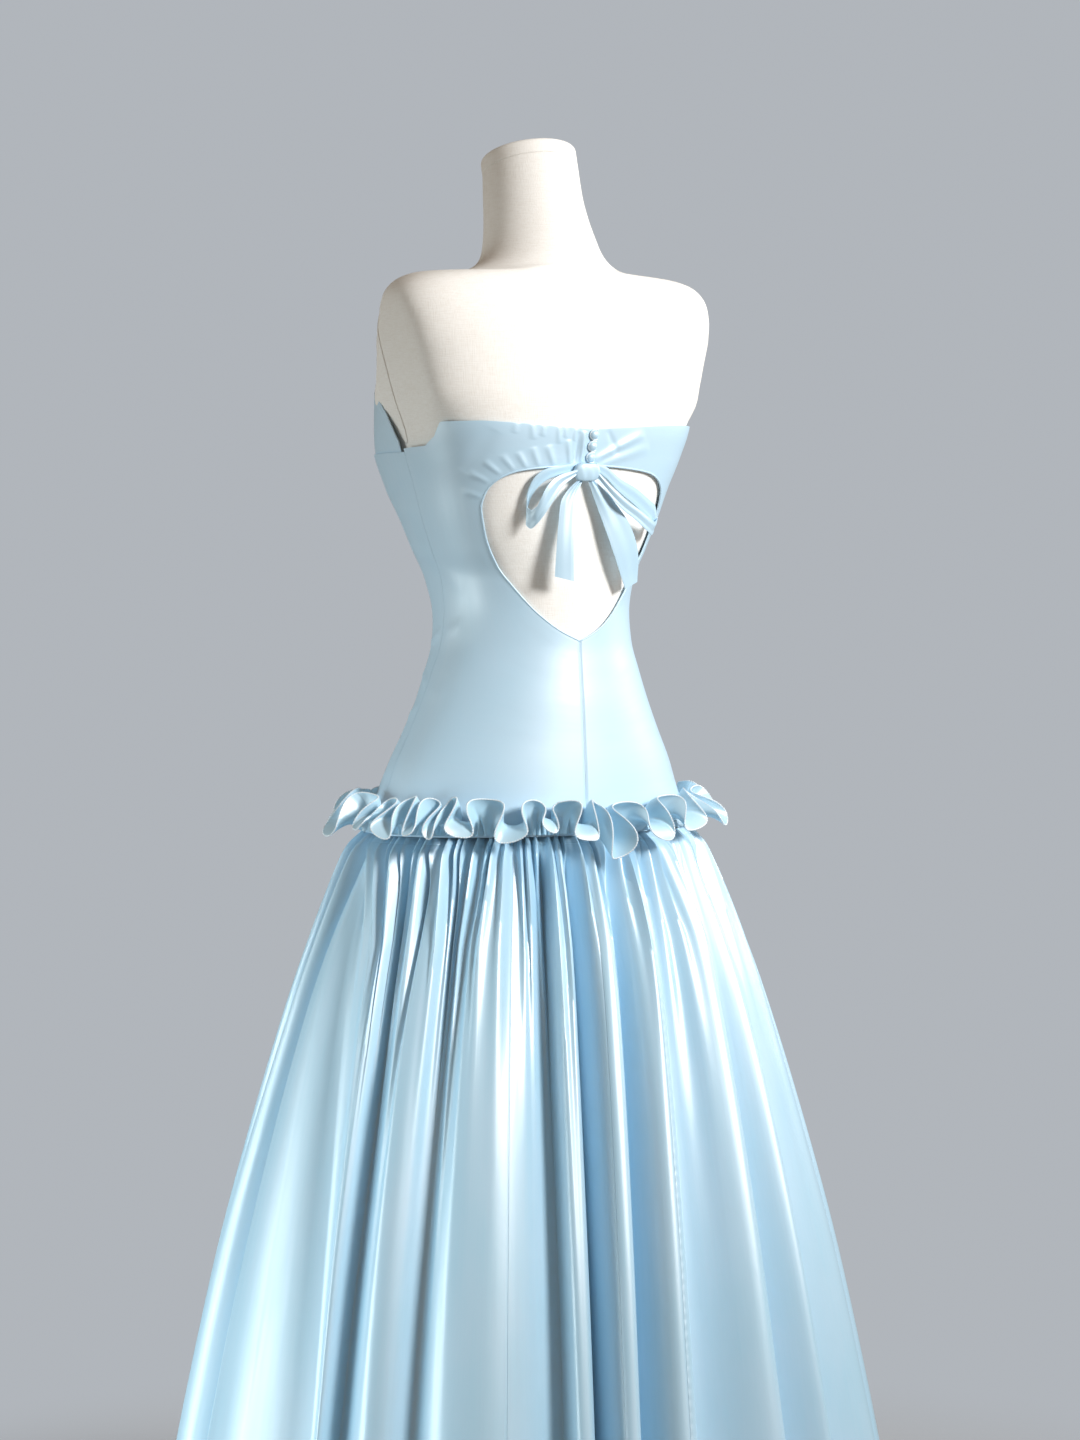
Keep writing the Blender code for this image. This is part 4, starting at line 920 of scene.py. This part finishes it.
def tube(name, path, radii, sides=6):
    """A closed round tube of mesh along a path."""
    tangents = unit(np.gradient(path, axis=0))
    side = unit(np.cross(tangents, np.array((0.13, 0.21, 0.97))))
    other = np.cross(tangents, side)
    turns = np.linspace(0, 2 * np.pi, sides, endpoint=False)
    rings = (path[:, None] + radii[:, None, None] * (np.cos(turns)[None, :, None] * side[:, None]
                                                     + np.sin(turns)[None, :, None] * other[:, None]))
    points = rings.reshape(-1, 3)
    index = np.arange(len(points)).reshape(len(path), sides)
    after = np.roll(index, -1, axis=1)
    quads = np.stack([index[:-1].ravel(), after[:-1].ravel(), after[1:].ravel(), index[1:].ravel()], axis=1)
    faces = quads.tolist() + [index[0].tolist(), index[-1].tolist()]
    run = run_lengths(rings, 0)
    threads = np.stack(np.meshgrid(turns * radii.mean(), run), axis=-1).reshape(-1, 2)
    return cloth_mesh(name, points, faces, (("threads", threads), ("edges", threads * 0 + 1)))


def stitched_edge(name, edge, finish):
    """Overlock stitches as a fine beaded cord on a free edge."""
    path, places = along(edge, EDGING_STITCH / 4)
    radii = EDGING_RADIUS + EDGING_BEAD * np.cos(2 * np.pi * places / EDGING_STITCH)
    finish_piece(tube(name, path, radii, 5), finish)


def ribbon(name, table, out_columns, folds, finish):
    """A strip of satin between two edges given as azimuth, height and distance out."""
    steps = np.arange(len(table))
    places = np.linspace(0, len(table) - 1, 10 * (len(table) - 1) + 1)
    columns = [smooth_value(places, steps, table[:, k])[:, None] for k in (0, 1, 2, 3, *out_columns)]
    across = np.linspace(0.0, 1.0, 17)[None, :]
    azimuth = columns[0] + (columns[2] - columns[0]) * across
    height = columns[1] + (columns[3] - columns[1]) * across
    out = columns[4] + (columns[5] - columns[4]) * across
    length = np.linspace(0, 1, len(places))[:, None]
    for middle, width, rise, fade in folds:
        out = out + rise * np.exp(-((across - middle) / width) ** 2) * np.exp(-length * fade)
    centre = bodice_point(azimuth, height, out)
    half = grid_normals(centre) * RIBBON_WALL / 2
    piece = cloth_shell(name + "_satin", centre + half, centre - half)
    finish_piece(piece, finish, (name,))


def bow(finish):
    """Two loops that stand open and two hanging tails."""
    ribbon("bow_loop_left", LOOP_LEFT, (4, 4), LOOP_FOLDS, finish)
    ribbon("bow_loop_right", LOOP_RIGHT, (4, 4), LOOP_FOLDS, finish)
    ribbon("bow_tail_left", TAIL_LEFT, (4, 5), TAIL_FOLDS, finish)
    ribbon("bow_tail_right", TAIL_RIGHT, (4, 5), TAIL_FOLDS, finish)


def lofted(name, rings, finish, replaced=()):
    """A circle drawn up ring by ring, each ring set to its own outline, with both ends filled."""
    count = len(rings[0])
    bpy.ops.object.select_all(action="DESELECT")
    bpy.ops.mesh.primitive_circle_add(vertices=count, radius=1.0, location=(0, 0, 0))
    piece = bpy.context.object
    piece.name = name
    bpy.ops.object.mode_set(mode="EDIT")
    bpy.ops.mesh.select_all(action="SELECT")
    for _ in rings[1:]:
        bpy.ops.mesh.extrude_region_move(TRANSFORM_OT_translate={"value": (0, 0, 1.0)})
    bpy.ops.object.mode_set(mode="OBJECT")
    for corner in piece.data.vertices:
        level = int(round(corner.co.z))
        column = int(round(math.atan2(corner.co.y, corner.co.x) / (2 * math.pi) * count)) % count
        corner.co = rings[level][column]
    bpy.ops.object.mode_set(mode="EDIT")
    bpy.ops.mesh.select_all(action="SELECT")
    bpy.ops.mesh.fill_holes(sides=0)
    bpy.ops.mesh.select_all(action="SELECT")
    bpy.ops.mesh.normals_make_consistent(inside=False)
    bpy.ops.object.mode_set(mode="OBJECT")
    bpy.ops.object.shade_smooth_by_angle(angle=math.radians(SHARP_ANGLE))
    return finish_piece(piece, finish, replaced)


def form_angles():
    return np.linspace(0, 2 * np.pi, FORM_COLUMNS, endpoint=False)


def form_ring(width, back, front, back_power, front_power, side_height, back_height, front_height):
    """One ring of the form above the bodice, with its own height at side, back and front."""
    angles = form_angles()
    sine, cosine = np.sin(angles), np.cos(angles)
    middle = (back + front) / 2
    depth = (back - front) / 2
    power = np.where(cosine > 0, back_power, front_power)
    radius = (np.abs(sine / width) ** power + np.abs(cosine / depth) ** power) ** (-1 / power)
    end_height = np.where(cosine > 0, back_height, front_height)
    height = side_height + (end_height - side_height) * cosine * cosine
    return np.stack([radius * sine, middle + radius * cosine, height], axis=-1)


def plate_plane(height):
    """Half width of the flat armhole face at a height."""
    return PLATE_X + PLATE_SLOPE * (height - PLATE_HEIGHT)


def neck_ring(radius, lift):
    """A ring in the tilted plane of the neck's top."""
    forward = radius * np.cos(form_angles())
    return np.stack([radius * np.sin(form_angles()),
                     NECK_Y + forward * math.cos(NECK_TILT) - lift * math.sin(NECK_TILT),
                     NECK_TOP + forward * math.sin(NECK_TILT) + lift * math.cos(NECK_TILT)], axis=-1)


def form_torso(finish):
    """Limbless torso with a neck, smooth from the hips to the cap."""
    rings = [form_ring(width, back, -front, 2.0, 2.0, height, height, height)
             for height, width, back, front in FORM_HIPS]
    angles = form_angles()
    for height in FORM_LEVELS:
        toward_back = (1 + np.cos(angles)) / 2
        inset = FORM_INSET_FRONT + (FORM_INSET_BACK - FORM_INSET_FRONT) * toward_back
        ring = bodice_point(np.degrees(angles), height, -inset)
        narrowing = np.clip((HIP_LEVEL - height) / HIP_RUN, 0, 1) * HIP_INSET
        ring[:, :2] *= (1 - narrowing / np.linalg.norm(ring[:, :2], axis=1))[:, None]
        rings.append(ring)
    rings += [form_ring(*row) for row in FORM_SHOULDERS]
    rings.append(neck_ring(NECK_RADIUS, 0.0))
    rings = np.array(rings)
    steps = np.arange(len(rings))
    places = np.linspace(0, len(rings) - 1, RING_STEPS * (len(rings) - 1) + 1)
    fine = np.empty((len(places), FORM_COLUMNS, 3))
    for column in range(FORM_COLUMNS):
        for k in range(3):
            fine[:, column, k] = smooth_value(places, steps, rings[:, column, k])
    face = plate_plane(fine[..., 2])
    spare = (face - np.abs(fine[..., 0])) / PLATE_SOFTNESS
    within = face - PLATE_SOFTNESS * (spare + np.sqrt(spare * spare + 1)) / 2
    clipped = np.copysign(np.minimum(within, np.abs(fine[..., 0])), fine[..., 0])
    fine[..., 0] = np.where(fine[..., 2] > PLATE_FACE_BOTTOM, clipped, fine[..., 0])
    torso = lofted("torso_linen", fine, finish, ("form_torso",))
    bpy.context.view_layer.update()
    for side in (1, -1):
        arm_plate(side, finish, torso)


def neck_cap(finish):
    """The round cap on the neck, with a softened upper edge."""
    profile = [(NECK_RADIUS - inward, lift) for inward, lift in CAP_FOOT]
    profile.append((NECK_RADIUS, CAP_THICKNESS - CAP_EDGE))
    for tilt in np.radians(np.linspace(12, 90, 9)):
        profile.append((NECK_RADIUS - CAP_EDGE * (1 - math.cos(tilt)),
                        CAP_THICKNESS - CAP_EDGE * (1 - math.sin(tilt))))
    crown_size, crown_rise = CAP_CROWN
    profile.append((NECK_RADIUS * crown_size, CAP_THICKNESS + crown_rise))
    rings = [neck_ring(radius, lift) for radius, lift in profile]
    lofted("neck_cap_linen", rings, finish, ("form_neck_cap",))


def arm_plate(side, finish, torso):
    """The slim cover on the form's flat side, laid on the torso with a soft edge."""
    bottom, top = PLATE_OUTLINE[0, 0], PLATE_OUTLINE[-1, 0]
    level = bottom + (top - bottom) * (0.5 - 0.5 * np.cos(np.linspace(0, np.pi, PLATE_POINTS)))
    back = np.stack([table_value(level, PLATE_OUTLINE, 1), level], axis=-1)
    front = np.stack([table_value(level, PLATE_OUTLINE, 2), level], axis=-1)[::-1]
    outline = np.concatenate([back, front])
    middle = outline.mean(axis=0)
    rings = []
    for out, scale in PLATE_RINGS:
        ring = []
        for y, height in middle + (outline - middle) * scale:
            _, seat, _, _ = torso.ray_cast(Vector((0, y, height)), Vector((side, 0, 0)))
            ring.append((seat.x + side * out, y, height))
        rings.append(np.array(ring))
    name = "left" if side > 0 else "right"
    lofted("arm_plate_linen_" + name, rings, finish, ("form_arm_plate_" + name,))


def knot(finish):
    """The rounded wrap of satin that holds the bow, with soft upright pleats."""
    origin, across, up, outward = surface_frame(KNOT_AZIMUTH, KNOT_HEIGHT, KNOT_OUT)
    width, thickness, tall = (size / 2 for size in KNOT_SIZE)
    turns = np.linspace(0, 2 * np.pi, KNOT_SIDES, endpoint=False)
    east = np.copysign(np.abs(np.cos(turns)) ** KNOT_SQUARENESS, np.cos(turns))
    ahead = np.copysign(np.abs(np.sin(turns)) ** KNOT_SQUARENESS, np.sin(turns))
    rings = []
    for tilt in np.radians(np.linspace(-KNOT_TURN, KNOT_TURN, KNOT_RINGS)):
        flat = math.cos(tilt) ** KNOT_CROWN
        lift = math.sin(tilt) / math.sin(math.radians(KNOT_TURN))
        wave = KNOT_PLEAT_DEPTH * np.sin(KNOT_PLEATS * east + KNOT_PLEAT_LEAN * lift)
        pleat = 1 + wave * (ahead > 0) * (1 - lift * lift * KNOT_PLEAT_FADE)
        rings.append(origin + across * (width * flat * east)[:, None]
                     + outward * (thickness * flat * ahead * pleat)[:, None] + up * tall * lift)
    lofted("knot_satin", rings, finish, ("bow_knot",))


def buttons(finish, thread):
    """Three covered domes on the back band, each in its own thin loop."""
    turns = np.linspace(0, 2 * np.pi, BUTTON_SIDES, endpoint=False)
    swing = np.radians(np.linspace(-BUTTON_LOOP_SWING, BUTTON_LOOP_SWING, 40))
    for name, azimuth, height in BUTTONS:
        seat, across, up, outward = surface_frame(azimuth, height, SEAM_GAP)
        rings = []
        for tilt in np.radians(BUTTON_TILTS):
            radius = BUTTON_RADIUS * math.cos(tilt)
            rings.append(seat + outward * BUTTON_HEIGHT * math.sin(tilt)
                         + across * (radius * np.cos(turns))[:, None]
                         + up * (radius * np.sin(turns))[:, None])
        lofted(name + "_satin", rings, finish, (name,))
        aside = BUTTON_LOOP[0] * np.cos(swing) - BUTTON_LOOP_SHIFT
        loop = (seat + outward * BUTTON_LOOP_LIFT - across[None, :] * aside[:, None]
                + up[None, :] * (BUTTON_LOOP[1] * np.sin(swing))[:, None])
        loop_piece = tube(name + "_loop", loop, np.full(len(loop), BUTTON_CORD), 8)
        finish_piece(loop_piece, thread)


def add_node(tree, kind, values=None, sources=None, **settings):
    """A shader node with its settings, its plain values and the outputs that feed it."""
    node = tree.nodes.new(kind)
    for name, value in settings.items():
        setattr(node, name, value)
    for socket, value in (values or {}).items():
        node.inputs[socket].default_value = value
    for socket, source in (sources or {}).items():
        tree.links.new(source, node.inputs[socket])
    return node


def stretched_noise(tree, place, scale, detail):
    """Noise drawn out by its own scale along each direction."""
    stretch = add_node(tree, "ShaderNodeMapping", {"Scale": scale}, {"Vector": place})
    values = {"Scale": 1.0, "Detail": detail}
    noise = add_node(tree, "ShaderNodeTexNoise", values, {"Vector": stretch.outputs[0]})
    return noise.outputs["Fac"]


def tinted(tree, shader, factor, tones):
    """Base colour between two tones."""
    colours = {6: (*tones[0], 1), 7: (*tones[1], 1)}
    mix = add_node(tree, "ShaderNodeMix", colours, {0: factor}, data_type="RGBA")
    tree.links.new(mix.outputs[2], shader.inputs["Base Color"])


def raised(tree, shader, height, strength, distance):
    """Fine relief on a finish."""
    values = {"Strength": strength, "Distance": distance}
    bump = add_node(tree, "ShaderNodeBump", values, {"Height": height})
    tree.links.new(bump.outputs[0], shader.inputs["Normal"])


def plain_material(name):
    material = bpy.data.materials.new(name)
    material.use_nodes = True
    return material, material.node_tree, material.node_tree.nodes["Principled BSDF"]


def weave_group():
    """Satin threads: warp streaks, weft ribs, handling wrinkles, seam grooves, stitches and puckers."""
    tree = bpy.data.node_groups.new("satin_threads", "ShaderNodeTree")
    for name, kind, direction, value in (
            ("Lit colour", "NodeSocketColor", "INPUT", (0.5, 0.7, 0.85, 1)),
            ("Deep colour", "NodeSocketColor", "INPUT", (0.3, 0.6, 0.75, 1)),
            ("Roughness", "NodeSocketFloat", "INPUT", 0.35),
            ("Stitch line", "NodeSocketFloat", "INPUT", 0.0),
            ("Pucker", "NodeSocketFloat", "INPUT", 0.0),
            ("Colour", "NodeSocketColor", "OUTPUT", None),
            ("Roughness", "NodeSocketFloat", "OUTPUT", None),
            ("Height", "NodeSocketFloat", "OUTPUT", None)):
        socket = tree.interface.new_socket(name=name, in_out=direction, socket_type=kind)
        if value is not None:
            socket.default_value = value
    given = tree.nodes.new("NodeGroupInput").outputs
    result = tree.nodes.new("NodeGroupOutput").inputs
    threads = add_node(tree, "ShaderNodeUVMap", uv_map="threads").outputs[0]
    edges = add_node(tree, "ShaderNodeUVMap", uv_map="edges").outputs[0]

    def spread(source, low, high, to_low, to_high):
        limits = {"From Min": low, "From Max": high, "To Min": to_low, "To Max": to_high}
        return add_node(tree, "ShaderNodeMapRange", limits, {"Value": source}).outputs[0]

    def combine(operation, *terms):
        plain = {place: term for place, term in enumerate(terms) if isinstance(term, float)}
        linked = {place: term for place, term in enumerate(terms) if not isinstance(term, float)}
        return add_node(tree, "ShaderNodeMath", plain, linked, operation=operation).outputs[0]

    streaks = stretched_noise(tree, threads, (260.0, 7.0, 1.0), 4.0)
    slubs = stretched_noise(tree, threads, (900.0, 24.0, 1.0), 2.0)
    handling = stretched_noise(tree, threads, (22.0, 9.0, 1.0), 3.0)
    weft = add_node(tree, "ShaderNodeTexWave", {"Scale": 300.0, "Distortion": 0.6}, {"Vector": threads},
                    bands_direction="Y").outputs["Fac"]

    shade = spread(handling, 0.30, 0.72, 0.0, 0.38)
    shade = combine("ADD", shade, spread(streaks, 0.30, 0.70, -0.10, 0.10))
    mix = add_node(tree, "ShaderNodeMix", {}, {0: shade, 6: given["Lit colour"], 7: given["Deep colour"]},
                   data_type="RGBA", clamp_factor=True)
    tree.links.new(mix.outputs[2], result["Colour"])
    rough = combine("ADD", given["Roughness"], spread(streaks, 0.3, 0.7, -0.05, 0.05))
    tree.links.new(rough, result["Roughness"])

    from_side, from_end, _ = add_node(tree, "ShaderNodeSeparateXYZ", {}, {0: edges}).outputs
    beside = combine("ABSOLUTE", combine("SUBTRACT", from_end, STITCH_INSET))
    line = combine("MULTIPLY", spread(beside, 0.0, STITCH_HALF_WIDTH, -1.0, 0.0), given["Stitch line"])
    seam = spread(from_side, 0.0, SEAM_WIDTH, -0.9, 0.0)
    across, down, _ = add_node(tree, "ShaderNodeSeparateXYZ", {}, {0: threads}).outputs
    turning = combine("MULTIPLY", down, PUCKER_TURNS)
    turning = combine("ADD", turning, combine("MULTIPLY", slubs, PUCKER_WANDER))
    pucker = combine("MULTIPLY", combine("SINE", turning), spread(across, *PUCKER_REACH, PUCKER_RISE, 0.0))
    height = combine("ADD", combine("MULTIPLY", streaks, 0.16), combine("MULTIPLY", pucker, given["Pucker"]))
    for field, share in ((slubs, 0.07), (weft, 0.04), (handling, 1.10)):
        height = combine("ADD", height, combine("MULTIPLY", field, share))
    height = combine("ADD", height, combine("ADD", line, seam))
    tree.links.new(height, result["Height"])
    return tree


def satin(name, group, lit, deep, roughness, stitch, relief, pucker):
    """Satin with its own tones, gloss, edge stitching and puckers."""
    material, tree, shader = plain_material(name)
    threads = add_node(tree, "ShaderNodeGroup", node_tree=group)
    for socket, value in (("Lit colour", (*lit, 1)), ("Deep colour", (*deep, 1)), ("Roughness", roughness),
                          ("Stitch line", stitch), ("Pucker", pucker)):
        threads.inputs[socket].default_value = value
    tree.links.new(threads.outputs["Colour"], shader.inputs["Base Color"])
    tree.links.new(threads.outputs["Roughness"], shader.inputs["Roughness"])
    raised(tree, shader, threads.outputs["Height"], relief, 0.0011)
    shader.inputs["IOR"].default_value = 1.80
    shader.inputs["Specular IOR Level"].default_value = 0.85
    return material


def linen():
    """Off-white linen: crossed uneven threads with faint slubs."""
    material, tree, shader = plain_material("form_linen")
    place = add_node(tree, "ShaderNodeTexCoord").outputs["Object"]
    warp, weft, cloud = (stretched_noise(tree, place, scale, 2.0) for scale in LINEN_THREADS)
    cross = add_node(tree, "ShaderNodeMath", {}, {0: warp, 1: weft}, operation="ADD").outputs[0]
    tone = add_node(tree, "ShaderNodeMapRange", {"From Min": 0.6, "From Max": 1.4}, {"Value": cross})
    sources = {0: cloud, 2: tone.outputs[0]}
    blend = add_node(tree, "ShaderNodeMath", {1: 0.45}, sources, operation="MULTIPLY_ADD")
    tinted(tree, shader, blend.outputs[0], LINEN_TONES)
    raised(tree, shader, cross, 0.30, 0.0006)
    shader.inputs["Roughness"].default_value = 0.85
    shader.inputs["Specular IOR Level"].default_value = 0.25
    return material


def brushed_steel():
    """Steel with fine turned marks and slightly uneven gloss."""
    material, tree, shader = plain_material("turned_steel")
    place = add_node(tree, "ShaderNodeTexCoord").outputs["Object"]
    marks = stretched_noise(tree, place, STEEL_MARKS, 3.0)
    gloss = add_node(tree, "ShaderNodeMapRange", {"To Min": 0.24, "To Max": 0.44}, {"Value": marks})
    tree.links.new(gloss.outputs[0], shader.inputs["Roughness"])
    tinted(tree, shader, marks, STEEL_TONES)
    raised(tree, shader, marks, 0.15, 0.0003)
    shader.inputs["Metallic"].default_value = 1.0
    return material


def stand(finish):
    """The stand's own solids keep their shape and take the turned steel."""
    for name in ("stand_base", "stand_pole", "stand_collar"):
        solid = bpy.data.objects[name]
        solid.data.materials.clear()
        solid.data.materials.append(finish)


def camera():
    data = bpy.data.cameras.new("photo_view")
    data.sensor_fit = "VERTICAL"
    data.sensor_height = 36.0
    data.sensor_width = 27.0
    data.lens = LENS
    view = bpy.data.objects.new("photo_view", data)
    bpy.context.scene.collection.objects.link(view)
    view.location = Vector((0, 0, CAMERA_HEIGHT)) + CAMERA_BACK * CAMERA_DISTANCE + CAMERA_SIDE * SIDE_SHIFT
    aim = Vector((0, 0, AIM_HEIGHT)) + CAMERA_SIDE * SIDE_SHIFT
    view.rotation_euler = (aim - view.location).to_track_quat("-Z", "Y").to_euler()
    bpy.context.scene.camera = view


def studio_light(name, azimuth, height, distance, aim_height, size, fan, power, colour):
    """A soft round light at an azimuth round the dress."""
    data = bpy.data.lights.new(name, "AREA")
    data.shape = "DISK"
    data.size = size
    data.spread = math.radians(fan)
    data.energy = power
    data.color = colour
    light = bpy.data.objects.new(name, data)
    bpy.context.scene.collection.objects.link(light)
    angle = math.radians(azimuth)
    light.location = (distance * math.sin(angle), distance * math.cos(angle), height)
    aim = Vector((0, 0, aim_height))
    light.rotation_euler = (aim - light.location).to_track_quat("-Z", "Y").to_euler()


def studio():
    """Soft lights, a pale backdrop and a dimmer, warmer light from the room."""
    bpy.context.scene.view_settings.view_transform = "Standard"
    world = bpy.data.worlds.new("studio_air")
    bpy.context.scene.world = world
    world.use_nodes = True
    tree = world.node_tree
    seen = add_node(tree, "ShaderNodeLightPath").outputs["Is Camera Ray"]
    colours = {6: (*ROOM_LIGHT, 1), 7: (*BACKDROP_GREY, 1)}
    tint = add_node(tree, "ShaderNodeMix", colours, {0: seen}, data_type="RGBA")
    tree.links.new(tint.outputs[2], tree.nodes["Background"].inputs["Color"])
    for row in STUDIO_LIGHTS:
        studio_light(*row)


def floor():
    """A pale round floor whose edge fades into the air of the studio."""
    bpy.ops.object.select_all(action="DESELECT")
    bpy.ops.mesh.primitive_circle_add(vertices=96, radius=FLOOR_RADIUS, fill_type="NGON", location=(0, 0, 0))
    plane = bpy.context.object
    plane.name = "studio_floor"
    material, tree, shader = plain_material("studio_floor")
    place = add_node(tree, "ShaderNodeTexCoord").outputs["Object"]
    size = add_node(tree, "ShaderNodeVectorMath", {}, {0: place}, operation="LENGTH").outputs["Value"]
    limits = {"From Min": FLOOR_FADE_START, "From Max": FLOOR_RADIUS, "To Min": 1.0, "To Max": 0.0}
    fade = add_node(tree, "ShaderNodeMapRange", limits, {"Value": size}, interpolation_type="SMOOTHSTEP")
    tree.links.new(fade.outputs[0], shader.inputs["Alpha"])
    shader.inputs["Base Color"].default_value = (*FLOOR_GREY, 1)
    shader.inputs["Emission Color"].default_value = (*BACKDROP_GREY, 1)
    shader.inputs["Emission Strength"].default_value = FLOOR_LIFT
    shader.inputs["Roughness"].default_value = 0.8
    plane.data.materials.append(material)


camera()
studio()
floor()
threads = weave_group()
satins = {name: satin(name, threads, *values) for name, values in SATIN_FINISHES.items()}
form_linen = linen()
skirt(satins["skirt_satin"], satins["puckered_satin"])
for side in (1, -1):
    back_panel(side, satins["bodice_satin"])
fronts(satins["bodice_satin"])
ruffle(satins["ruffle_satin"], satins["edge_thread"])
bow(satins["bow_satin"])
knot(satins["bow_satin"])
buttons(satins["bow_satin"], satins["edge_thread"])
form_torso(form_linen)
neck_cap(form_linen)
stand(brushed_steel())
